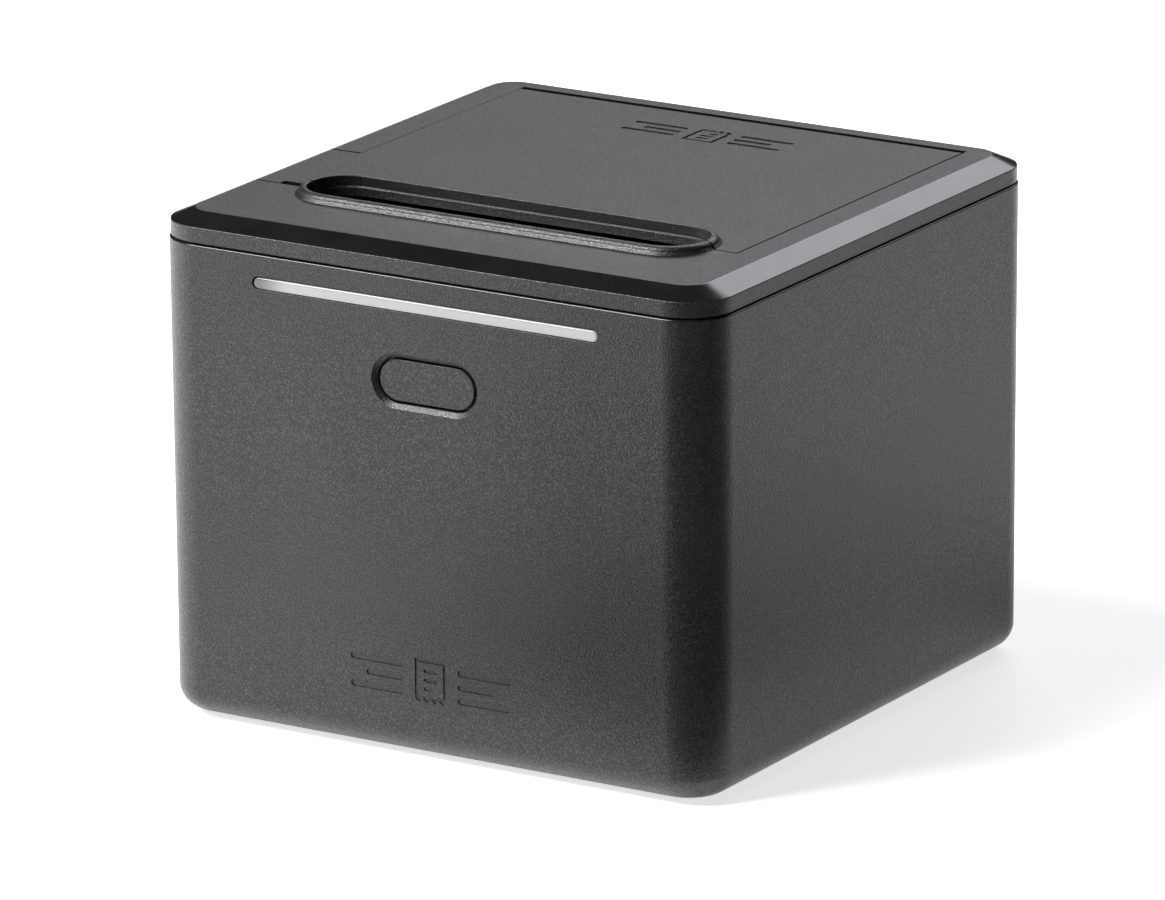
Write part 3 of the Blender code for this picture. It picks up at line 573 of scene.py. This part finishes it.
def lid_blank(name, keep=None):
    """The whole lid as one solid, with keep left solid under its top skin."""
    slope = math.degrees(math.atan2(LID_TOP - CHAMFER_BOTTOM, CHAMFER_INSET - LID_INSET))
    soft = 0.3
    lift = soft * math.tan(math.radians(90 - slope) / 2)
    run = 0.25
    rings = [(outline_at(LID_INSET + 0.12), LID_BOTTOM), (outline_at(LID_INSET), LID_BOTTOM + 0.12)]
    rings += round_over(LID_INSET + soft, CHAMFER_BOTTOM - lift, soft, 0, 90 - slope)
    slots = [SKIN] * (len(rings) - 2) + [POLISHED] * 3 + [SKIN]
    rings += [(outline_at(CHAMFER_INSET - run * math.cos(math.radians(slope))),
               LID_TOP - run * math.sin(math.radians(slope))),
              (outline_at(CHAMFER_INSET + 0.02), LID_TOP - 0.022),
              (outline_at(CHAMFER_INSET + run), LID_TOP)]
    lid = new_object(name, skin(rings, slots=slots), case_black, edge_black, painted_seam_shade)
    rebate = outline_at(1.0)
    hollow = outline_at(2.8)
    shape(lid, skin([(rebate, LID_BOTTOM - 2), (rebate, TONGUE_TOP + SEAM), (hollow, TONGUE_TOP + SEAM),
                     (hollow, LID_SKIN)]))
    if keep:
        shape(lid, keep, "UNION")
    shape(lid, prism(stadium((0, SLOT_Y), SLOT_HALF, LEDGE + 0.6), "Z", 105.0, 118.0))
    shape(lid, slot_ring(), "UNION")
    return lid


def slot_ring():
    """The raised ring: a hollow sweep up from the lid, a round bead and a stepped inner wall."""
    profile = [(RING_FOOT, RING_ROOT), (RING_FOOT, LID_TOP - 0.02)]
    profile += arc((RING_FOOT, LID_TOP + SWEEP), SWEEP, 265, 200, 5)
    profile += arc((RING_INNER + 0.62, RING_TOP - BEAD), BEAD, 12, 88, 10)
    profile += arc((RING_INNER + CREST, RING_TOP - CREST), CREST, 95, 180, 4)
    profile += arc((RING_INNER - NOOK, LEDGE_Z + NOOK), NOOK, 0, -80, 3)
    profile += arc((LEDGE + CREST, LEDGE_Z - CREST), CREST, 92, 180, 5)
    profile += [(LEDGE, LID_SKIN - 0.2), (RING_INNER + 1.0, LID_SKIN - 0.2), (RING_INNER + 1.0, RING_ROOT)]
    return skin([(stadium((0, SLOT_Y), SLOT_HALF, reach), height) for reach, height in profile],
                closed=True)


BELOW = 100.0  # where cutters that go right through the lid end
ABOVE = 120.0
PAST_LEFT = -75.0
bezel = lid_blank("lid_bezel", keep=block((-59.6, -39.5, LID_BOTTOM), (60.2, 64.4, 112.0)))
hole_left = COVER_LEFT - 0.16
hole_right = COVER_RIGHT + 0.44
hole_front = COVER_FRONT - 0.55
hole_back = COVER_BACK + 0.9
# These cuts give their walls the SHADOWED slot: painted seam shade in the cover's opening, at its rear
# slope and at the tab's notches.
shape(bezel, block((hole_left, hole_front, BELOW), (hole_right, hole_back, ABOVE)), slot=SHADOWED)
rear_slope = [(61.4, ABOVE), (61.4, 113.4), (62.1, 111.8), (62.1, BELOW), (50.0, BELOW), (50.0, ABOVE)]
shape(bezel, prism(rear_slope, "X", hole_left, hole_right), slot=SHADOWED)
shape(bezel, block((PAST_LEFT, hole_front, 111.2), (-56.0, TAB_BACK + 0.7, ABOVE)), slot=SHADOWED)
shape(bezel, block((PAST_LEFT, hole_front, BELOW), (-66.2, TAB_BACK + SEAM, ABOVE)), slot=SHADOWED)
BOSS_SPOT = (62.6, 60.0)
BOSS_RADIUS = 2.8
for side in (-1, 1):
    boss = arc((side * BOSS_SPOT[0], BOSS_SPOT[1]), BOSS_RADIUS, 0, 345, 23)
    shape(bezel, prism(boss, "Z", 103.3, 112.0), "UNION")
finish_piece(bezel, "root", "case_plastic", "top_bezel")

cover = lid_blank("paper_cover_lid")
cover_plan = [(COVER_RIGHT, COVER_FRONT), (COVER_RIGHT, COVER_BACK), (COVER_LEFT, COVER_BACK),
              (COVER_LEFT, TAB_BACK), (PAST_LEFT, TAB_BACK), (PAST_LEFT, COVER_FRONT)]
# The cover's cut walls take the SHADOWED slot: painted seam shade.
shape(cover, prism(cover_plan, "Z", BELOW, ABOVE), "INTERSECT", slot=SHADOWED)
shape(cover, block((-58.2, -38.0, BELOW), (-52.3, COVER_FRONT + 1.9, ABOVE)), slot=SHADOWED)
HINGE_Y = 55.0
HINGE_Z = 109.0
EYE_RADIUS = 2.2
PIN_HOLE = 1.55
for side in (-1, 1):
    near, far = sorted((side * 54.0, side * 55.5))
    shape(cover, block((near, -8.0, 106.0), (far, 50.0, 112.0)), "UNION")
    near, far = sorted((side * 46.9, side * 52.9))
    eye = arc((HINGE_Y, HINGE_Z), EYE_RADIUS, 0, -180, 20)
    eye += [(HINGE_Y - EYE_RADIUS, 112.0), (HINGE_Y + EYE_RADIUS, 112.0)]
    shape(cover, prism(eye, "X", near, far), "UNION")
    shape(cover, prism(arc((HINGE_Y, HINGE_Z), PIN_HOLE, 0, 345, 23), "X", near - 1, far + 1))
RIB_COUNT = 5
RIB_PITCH = 18.0
for row in range(RIB_COUNT):
    rib_x = RIB_PITCH * (row - (RIB_COUNT - 1) / 2)
    shape(cover, block((rib_x - 0.5, -9.0, 110.3), (rib_x + 0.5, 48.0, 111.8)), "UNION")
shape(cover, paper_mark("Z", LID_TOP - MARK_DEPTH, LID_TOP + 1.0, (1.4, 44.4), -1))
finish_piece(cover, "cover", "cover_plastic", "paper_cover")

# ---------------------------------------------------------------- light bar
# A milky moulded light guide pushed through its slot from inside. Its face is slightly domed. The light
# of a lamp behind it is painted into its colour: painted lighter along most of it, and greyer at the left,
# where no lamp stands behind it.

BAR_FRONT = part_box("light_bar")[0].y / MM
BAR_SHIFT = 0.12
GREY_END = -42.5  # the bar is grey as far as here
LIT_START = -34.0  # and fully lit from here on
milky, milky_tree, milky_shader = new_material("milky_guide", IOR=1.49, Coat_Weight=0.3,
                                               Coat_Roughness=0.12)
across = node(milky_tree, "ShaderNodeSeparateXYZ", {"Vector": place_in(milky_tree)}, output="X")
# Painted backlight: the colour rises from grey to light between GREY_END and LIT_START.
lit = node(milky_tree, "ShaderNodeMapRange",
           {"Value": across, "From Min": GREY_END * MM, "From Max": LIT_START * MM},
           interpolation_type="SMOOTHSTEP")
flow = noise(milky_tree, 14.0 * MM)
feed(milky_shader, "Base Color", blend_colours(lit * spread(flow, 0.88, 0.96), (0.09, 0.09, 0.095),
                                               (0.33, 0.33, 0.335)))
feed(milky_shader, "Roughness", spread(flow, 0.28, 0.34))
bar_rings = []
for setback, depth in ((0.62, 0.0), (0.3, 0.04), (0.12, 0.14), (0.03, 0.3), (0.0, 0.5), (0.0, 3.75)):
    bar_rings.append((stadium((BAR_SHIFT, LIGHT_Z), LIGHT_HALF - BAR_SHIFT, LIGHT_RADIUS - setback),
                      BAR_FRONT + depth))
bar = new_object("light_guide_bar", skin(bar_rings, "Y"), milky)
LIP_FRONT = -68.2
shape(bar, block((-45.5, LIP_FRONT, LIGHT_Z - 2.8), (45.5, LIP_FRONT + 1.4, LIGHT_Z + 2.8)), "UNION")
finish_piece(bar, "root", "light_guide", "light_bar")

# ---------------------------------------------------------------- feed button
# A finely grained moulded cap with a small edge radius, set just below the case's face in its dished
# hole. A flange behind the wall keeps it in, and a plunger presses the switch.

BUTTON_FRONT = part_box("feed_button")[0].y / MM
BUTTON_RADIUS = 4.65
CAP_EDGE = 0.3
FLANGE_FRONT = -68.2
FLANGE_BACK = -67.3
PLUNGER_END = -65.6
button_black = grained_plastic("button_black", (0.010, 0.010, 0.011), grain=0.6, gloss=0.42, size=0.45)
cap_profile = []
for turn in range(0, 91, 15):
    cap_profile.append((BUTTON_RADIUS - CAP_EDGE + CAP_EDGE * math.sin(math.radians(turn)),
                        BUTTON_FRONT + CAP_EDGE - CAP_EDGE * math.cos(math.radians(turn))))
cap_profile += [(BUTTON_RADIUS, FLANGE_FRONT), (BUTTON_HOLE + 0.9, FLANGE_FRONT),
                (BUTTON_HOLE + 0.9, FLANGE_BACK)]
cap_rings = [(stadium((0, BUTTON_Z), BUTTON_HALF, radius), depth) for radius, depth in cap_profile]
plunger = stadium((0, BUTTON_Z), 0.2, 2.0)
cap_rings += [(plunger, FLANGE_BACK), (plunger, PLUNGER_END)]
cap = new_object("feed_button_cap", skin(cap_rings, "Y"), button_black)
finish_piece(cap, "button", "button_plastic", "feed_button")

# ---------------------------------------------------------------- mechanism
# The pieces inside keep their made shapes: pressed zinc-plated frame parts, turned steel and brass,
# moulded acetal gears, a ground rubber platen, a glazed ceramic head and green circuit boards.


def stretched(tree, scales, size, detail=3.0):
    """Noise drawn out along the axes with small scales, for brushed or turned marks."""
    spot = node(tree, "ShaderNodeVectorMath", {0: place_in(tree), 1: scales}, operation="MULTIPLY")
    return node(tree, "ShaderNodeTexNoise", {"Vector": spot, "Scale": 1.0 / size, "Detail": detail})


def metal(name, dark, light, scales, low, high):
    """Bare metal with fine drawn-out tool marks; low and high are its limits of roughness."""
    made, tree, shader = new_material(name, Metallic=1.0)
    marks = stretched(tree, scales, 0.25 * MM)
    cloud = noise(tree, 14.0 * MM)
    feed(shader, "Base Color", blend_colours(spread(marks * 0.25 + cloud * 0.75, 0.0, 1.0), dark, light))
    feed(shader, "Roughness", spread(marks * 0.4 + cloud * 0.6, low, high))
    feed(shader, "Normal", bump(marks, 0.1, 0.004 * MM))
    return made


def plastic(name, dark, light, low, high, size=0.5, grain=0.4):
    """A moulded, ground or glazed surface; size is its pits' width in millimetres."""
    made, tree, shader = new_material(name, Specular_IOR_Level=0.5)
    pits = noise(tree, size * MM, detail=3.0)
    cloud = noise(tree, 18.0 * MM)
    feed(shader, "Base Color", blend_colours(spread(pits * 0.4 + cloud * 0.6, 0.0, 1.0), dark, light))
    feed(shader, "Roughness", spread(pits, low, high))
    feed(shader, "Normal", bump(pits, grain, 0.06 * MM))
    return made


def spangled_zinc():
    """Zinc-plated sheet: crystals a few millimetres across, each with its own tone."""
    made, tree, shader = new_material("spangled_zinc", Metallic=1.0)
    crystals = node(tree, "ShaderNodeTexVoronoi", {"Vector": place_in(tree), "Scale": 1.0 / (3.5 * MM)},
                    output="Color")
    tone = node(tree, "ShaderNodeSeparateColor", {"Color": crystals})
    scuff = stretched(tree, (1.0, 0.2, 1.0), 0.7 * MM)
    shade = tone * 0.6 + scuff * 0.4
    feed(shader, "Base Color", blend_colours(shade, (0.36, 0.37, 0.38), (0.66, 0.67, 0.68)))
    feed(shader, "Roughness", tone * 0.16 + spread(scuff, 0.26, 0.36))
    feed(shader, "Normal", bump(scuff, 0.2, 0.03 * MM))
    return made


def solder_mask():
    """Green lacquer over copper tracks, which show as slightly raised paler lanes."""
    made, tree, shader = new_material("solder_mask", Coat_Weight=0.4, Coat_Roughness=0.15)
    lanes = node(tree, "ShaderNodeTexBrick", {"Vector": place_in(tree), "Scale": 1.0 / (9.0 * MM),
                                              "Mortar Size": 0.035, "Mortar Smooth": 0.3}, output="Fac")
    weave = noise(tree, 0.8 * MM)
    feed(shader, "Base Color", blend_colours(lanes * 0.75 + spread(weave, 0.0, 0.25),
                                             (0.006, 0.085, 0.035), (0.03, 0.22, 0.09)))
    feed(shader, "Roughness", spread(weave, 0.3, 0.45))
    feed(shader, "Normal", bump(lanes, 0.5, 0.04 * MM))
    return made


inner_black_and_cavity_shade = plastic("inner_black_and_cavity_shade", (0.011, 0.011, 0.012), (0.028, 0.028, 0.030), 0.42, 0.58)
bright_steel = metal("bright_steel", (0.46, 0.47, 0.49), (0.68, 0.69, 0.71), (0.15, 1.0, 1.0), 0.22, 0.38)
FINISHES = {
    "case_plastic": case_black,
    "cover_plastic": case_black,
    "button_plastic": button_black,
    "inner_plastic": inner_black_and_cavity_shade,
    "light_guide": milky,
    "gear_plastic": plastic("natural_acetal", (0.60, 0.59, 0.54), (0.76, 0.75, 0.70), 0.32, 0.46),
    "rubber": plastic("ground_rubber", (0.010, 0.010, 0.011), (0.030, 0.030, 0.032), 0.7, 0.9,
                      size=0.3, grain=0.8),
    "steel": bright_steel,
    "zinc_plate": spangled_zinc(),
    "aluminium": metal("extruded_aluminium", (0.55, 0.56, 0.57), (0.74, 0.75, 0.76), (0.08, 1.0, 1.0),
                       0.3, 0.45),
    "ceramic": plastic("glazed_ceramic", (0.58, 0.54, 0.46), (0.72, 0.69, 0.61), 0.16, 0.26,
                       size=1.2, grain=0.1),
    "circuit_board": solder_mask(),
    "brass": metal("turned_brass", (0.52, 0.36, 0.13), (0.76, 0.58, 0.27), (0.1, 1.0, 1.0), 0.26, 0.4),
}
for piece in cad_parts.values():
    for place in piece.material_slots:
        place.material = FINISHES[place.material.name]

# ---------------------------------------------------------------- paper guide ribs
# Low moulded ribs run round the paper bay's floor, so that the roll slides on their crests. They are
# one moulding with the black bucket.

BAY_Y = 17.0
BAY_Z = 58.0
BAY_RADIUS = 41.5
GUIDE_PITCH = 9.0
GUIDE_COUNT = 9


def new_group(name, sockets):
    """A Geometry Nodes group with named inputs; returns it with its input values by name."""
    group = bpy.data.node_groups.new(name, "GeometryNodeTree")
    group.interface.new_socket("Geometry", in_out="OUTPUT", socket_type="NodeSocketGeometry")
    for label, kind in sockets.items():
        group.interface.new_socket(label, in_out="INPUT", socket_type="NodeSocket" + kind)
    entry = group.nodes.new("NodeGroupInput")
    return group, {label: Value(group, entry.outputs[label]) for label in sockets}


def close_group(group, shaped, finish):
    """Realise the instances, set the material and send the result out."""
    whole = node(group, "GeometryNodeRealizeInstances", {"Geometry": shaped})
    painted = node(group, "GeometryNodeSetMaterial", {"Geometry": whole, "Material": finish})
    leave = group.nodes.new("NodeGroupOutput")
    group.links.new(painted.socket, leave.inputs["Geometry"])


def grow(name, group, finish, **values):
    """Run the group with the given inputs and keep its result as a plain mesh."""
    holder = new_object(name, bmesh.new(), finish)
    change = holder.modifiers.new("grow", "NODES")
    change.node_group = group
    values["Finish"] = finish
    for item in group.interface.items_tree:
        if item.in_out == "INPUT":
            change[item.identifier] = values[item.name]
    holder.update_tag()
    settle(holder)
    return holder


ribs_group, entry = new_group("arc_ribs", {
    "Radius": "Float", "Wide": "Float", "High": "Float", "Count": "Int",
    "Start": "Vector", "Step": "Vector", "Finish": "Material"})
path = node(ribs_group, "GeometryNodeCurveArc",
            {"Resolution": 40, "Radius": entry["Radius"],
             "Start Angle": math.radians(186), "Sweep Angle": math.radians(168)})
profile = node(ribs_group, "GeometryNodeCurvePrimitiveQuadrilateral",
               {"Width": entry["High"], "Height": entry["Wide"]})
bar_mesh = node(ribs_group, "GeometryNodeCurveToMesh",
                {"Curve": path, "Profile Curve": profile, "Fill Caps": True})
upright = node(ribs_group, "GeometryNodeTransform",
               {"Geometry": bar_mesh, "Rotation": (math.radians(90), 0.0, math.radians(90))})
spots = node(ribs_group, "GeometryNodeMeshLine", {"Count": entry["Count"], "Start Location": entry["Start"],
                                                  "Offset": entry["Step"]})
placed_ribs = node(ribs_group, "GeometryNodeInstanceOnPoints", {"Points": spots, "Instance": upright})
close_group(ribs_group, placed_ribs, entry["Finish"])
first_x = -GUIDE_PITCH * (GUIDE_COUNT - 1) / 2
ribs = grow("paper_guide_ribs", ribs_group, inner_black_and_cavity_shade, Radius=(BAY_RADIUS - 0.2) * MM, Wide=1.2 * MM,
            High=0.7 * MM, Count=GUIDE_COUNT, Start=(first_x * MM, BAY_Y * MM, BAY_Z * MM),
            Step=(GUIDE_PITCH * MM, 0.0, 0.0))
finish_piece(ribs, "root", "inner_plastic")

# ---------------------------------------------------------------- underside
# The base plate is a black moulding with a softened rim and two rows of vent slots. It is held by four
# cross-recessed screws and stands on four glued rubber feet with a ringed sole.

row_group, entry = new_group("rounded_row", {
    "Wide": "Float", "Long": "Float", "Radius": "Float", "Deep": "Float", "Count": "Int",
    "Start": "Vector", "Step": "Vector", "Finish": "Material"})
frame_line = node(row_group, "GeometryNodeCurvePrimitiveQuadrilateral",
                  {"Width": entry["Wide"], "Height": entry["Long"]})
soft_line = node(row_group, "GeometryNodeFilletCurve",
                 {"Curve": frame_line, "Radius": entry["Radius"], "Count": 5}, mode="POLY")
face = node(row_group, "GeometryNodeFillCurve", {"Curve": soft_line}, mode="NGONS")
raised = node(row_group, "GeometryNodeExtrudeMesh",
              {"Mesh": face, "Offset Scale": entry["Deep"], "Individual": False})
turned_face = node(row_group, "GeometryNodeFlipFaces", {"Mesh": face})
both = row_group.nodes.new("GeometryNodeJoinGeometry")
row_group.links.new(raised.socket, both.inputs[0])
row_group.links.new(turned_face.socket, both.inputs[0])
solid = node(row_group, "GeometryNodeMergeByDistance",
             {"Geometry": Value(row_group, both.outputs[0]), "Distance": 0.001 * MM})
spots = node(row_group, "GeometryNodeMeshLine", {"Count": entry["Count"], "Start Location": entry["Start"],
                                                 "Offset": entry["Step"]})
placed_bars = node(row_group, "GeometryNodeInstanceOnPoints", {"Points": spots, "Instance": solid})
close_group(row_group, placed_bars, entry["Finish"])


def row_of(name, finish, size, radius, count, start, step):
    """A row of rounded bars; size, radius, start and step in millimetres."""
    return grow(name, row_group, finish, Wide=size[0] * MM, Long=size[1] * MM, Deep=size[2] * MM,
                Radius=radius * MM, Count=count, Start=[value * MM for value in start],
                Step=[value * MM for value in step])


def take(piece):
    """Turn a helper piece into a bmesh and remove it."""
    mesh = bmesh.new()
    mesh.from_mesh(piece.data)
    bmesh.ops.recalc_face_normals(mesh, faces=mesh.faces)
    bpy.data.objects.remove(piece)
    return mesh


def circle(centre, radius, steps=36):
    return arc(centre, radius, 0, 360, steps)[:-1]


def turned(centre, profile):
    """A turned solid along Z, from its profile's (radius, height) rings."""
    return skin([(circle(centre, radius), height) for radius, height in profile])


plate_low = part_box("base_plate")[0].z / MM
PLATE_STEP = 3.8
PLATE_TOP = 5.3
lower_inset = FLANGE + 0.3
upper_inset = WALL + DRAFT + 2.4
plate_rings = [(outline_at(lower_inset + 0.4), plate_low),
               (outline_at(lower_inset + 0.12), plate_low + 0.12),
               (outline_at(lower_inset), plate_low + 0.4), (outline_at(lower_inset), PLATE_STEP),
               (outline_at(upper_inset), PLATE_STEP), (outline_at(upper_inset), PLATE_TOP)]
plate = new_object("base_moulding", skin(plate_rings), inner_black_and_cavity_shade)
FOOT_X = 53.0
FOOT_Y = 54.0
SCREW_SPOTS = {"front_left": (-52.0, -44.0), "rear_left": (-52.0, -20.0),
               "front_right": (52.0, -44.0), "rear_right": (52.0, -20.0)}
for spot in [(x, y) for x in (-FOOT_X, FOOT_X) for y in (-FOOT_Y, FOOT_Y)]:
    shape(plate, prism(circle(spot, 4.8), "Z", 0.0, 2.3))
for spot in SCREW_SPOTS.values():
    shape(plate, turned(spot, ((3.2, 1.0), (3.0, 1.4), (3.0, 3.2), (1.8, 3.2), (1.8, 6.0))))
VENT_PITCH = 6.0
for row_y in (-6.0, 22.0):
    shape(plate, take(row_of("vents", inner_black_and_cavity_shade, (2.0, 18.0, 6.0), 0.95, 13, (-36.0, row_y, 0.0),
                             (VENT_PITCH, 0.0, 0.0))))
shape(plate, take(row_of("label_bed", inner_black_and_cavity_shade, (44.0, 16.0, 1.0), 1.5, 1, (0.0, -42.0, 0.5),
                         (0.0, 0.0, 0.0))))
finish_piece(plate, "root", "inner_plastic", "base_plate")

SOLE = ((0.9, 0.35), (1.3, 0.0), (2.0, 0.0), (2.2, 0.3), (2.6, 0.3), (2.8, 0.0), (3.9, 0.0), (4.35, 0.15),
        (4.5, 0.55), (4.5, 2.0))
for name in ("foot_front_left", "foot_front_right", "foot_rear_left", "foot_rear_right"):
    foot = new_object(name + "_pad", turned(middle(name)[:2], SOLE), FINISHES["rubber"])
    finish_piece(foot, "root", "rubber", name)

THREAD_START = 2.95
THREAD_PITCH = 0.46
THREAD_TURNS = 12
screw_profile = [(1.9, 1.5), (2.4, 1.62), (2.6, 1.95), (2.6, 2.9)]
for turn in range(THREAD_TURNS):
    root = THREAD_START + THREAD_PITCH * turn
    screw_profile += [(1.15, root), (1.4, root + THREAD_PITCH / 2)]
for name, spot in SCREW_SPOTS.items():
    screw = new_object(f"base_screw_{name}_turned", turned(spot, screw_profile), bright_steel)
    x, y = spot
    shape(screw, block((x - 1.5, y - 0.32, 1.0), (x + 1.5, y + 0.32, 2.4)))
    shape(screw, block((x - 0.32, y - 1.5, 1.0), (x + 0.32, y + 1.5, 2.4)))
    finish_piece(screw, "root", "steel", f"base_screw_{name}")

# ---------------------------------------------------------------- rear sockets
# Four board-mounted sockets look out of the back: folded steel shells with rolled mouths round black
# insulators and gold contacts, and a moulded power socket whose core has three contact holes in a steel
# guard.

SOCKET_FLOOR = 60.0
gold = metal("gold_contacts", (0.62, 0.42, 0.16), (0.86, 0.63, 0.28), (1.0, 0.1, 1.0), 0.2, 0.34)


def stepped(centre, rows, steps=5):
    """A solid along Y through rounded rectangles given as (half width, half height, radius, y)."""
    rings = []
    for half_wide, half_high, radius, along in rows:
        outline = rounded(half_wide, half_high, radius, steps)
        rings.append(([(a + centre[0], b + centre[1]) for a, b in outline], along))
    return skin(rings, "Y")


def rolled_mouth(mouth_y):
    """The cutter's widening towards the mouth, as (margin, y) steps."""
    return ((0.0, SOCKET_FLOOR), (0.0, mouth_y - 0.6), (0.14, mouth_y - 0.25), (0.45, mouth_y),
            (0.6, mouth_y + 0.5))


SHELL_SOCKETS = {  # half the mouth's width and height, and the contacts' count, pitch and thickness
    "usb_socket": (4.4, 4.0, 2, 2.2, 1.1),
    "ethernet_socket": (6.0, 3.8, 8, 1.02, 0.42),
    "drawer_socket": (4.9, 3.5, 6, 1.2, 0.5)}
for name, (mouth_wide, mouth_high, count, pitch, thick) in SHELL_SOCKETS.items():
    low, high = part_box(name)
    centre = middle(name)[::2]
    half_wide = (high.x - low.x) / 2 / MM
    half_high = (high.z - low.z) / 2 / MM
    mouth_y = high.y / MM
    can = new_object(name + "_shell", stepped(centre, [
        (half_wide, half_high, 0.7, low.y / MM), (half_wide, half_high, 0.7, mouth_y - 0.2),
        (half_wide - 0.2, half_high - 0.2, 0.5, mouth_y)]), bright_steel, inner_black_and_cavity_shade)
    # The cavity's walls take slot 1, black plastic in place of the shell's steel: painted shade inside the
    # mouth.
    shape(can, stepped(centre, [(mouth_wide + grown, mouth_high + grown, 0.4 + grown, along)
                                for grown, along in rolled_mouth(mouth_y)]), slot=1)
    finish_piece(can, "root", "steel", name)
    if name == "usb_socket":
        tongue_z, tongue_wide, tongue_high, drop = centre[1], mouth_wide - 1.7, 1.5, 1.6
    else:
        tongue_z, tongue_wide, tongue_high, drop = centre[1] + mouth_high - 0.9, mouth_wide - 0.5, 0.8, 0.92
    tongue = new_object(name + "_tongue", stepped((centre[0], tongue_z), [
        (tongue_wide, tongue_high, 0.3, SOCKET_FLOOR - 0.3), (tongue_wide, tongue_high, 0.3, mouth_y - 2.2),
        (tongue_wide - 0.3, tongue_high - 0.25, 0.2, mouth_y - 1.9)], steps=4), inner_black_and_cavity_shade)
    finish_piece(tongue, "root", "inner_plastic")
    start_x = centre[0] - pitch * (count - 1) / 2
    pins = row_of(name + "_contacts", gold, (thick, 7.0, 0.3), 0.12, count,
                  (start_x, mouth_y - 6.0, tongue_z - drop), (pitch, 0.0, 0.0))
    finish_piece(pins, "root", "brass")

low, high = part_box("power_socket")
centre = middle("power_socket")[::2]
mouth_y = high.y / MM
half_wide = (high.x - low.x) / 2 / MM
half_high = (high.z - low.z) / 2 / MM
power = new_object("power_socket_moulding", stepped(centre, [
    (half_wide, half_high, 0.6, low.y / MM), (half_wide, half_high, 0.6, mouth_y - 0.3),
    (half_wide - 0.3, half_high - 0.3, 0.4, mouth_y)]), inner_black_and_cavity_shade)
shape(power, skin([(circle(centre, 5.2 + grown), along) for grown, along in rolled_mouth(mouth_y)], "Y"))
shape(power, prism(circle(centre, 3.6), "Y", SOCKET_FLOOR - 0.5, 66.5), "UNION")
for turn in (90, 210, 330):
    spot = arc(centre, 2.0, turn, turn, 1)[0]
    shape(power, prism(circle(spot, 0.75, 16), "Y", 63.0, 67.0))
finish_piece(power, "root", "inner_plastic", "power_socket")
guard_rings = []
for radius, along in ((4.95, SOCKET_FLOOR - 0.3), (4.95, 68.6), (4.6, 68.6), (4.6, SOCKET_FLOOR - 0.3)):
    guard_rings.append((circle(centre, radius), along))
guard = new_object("power_socket_guard", skin(guard_rings, "Y", closed=True), bright_steel)
finish_piece(guard, "root", "steel")
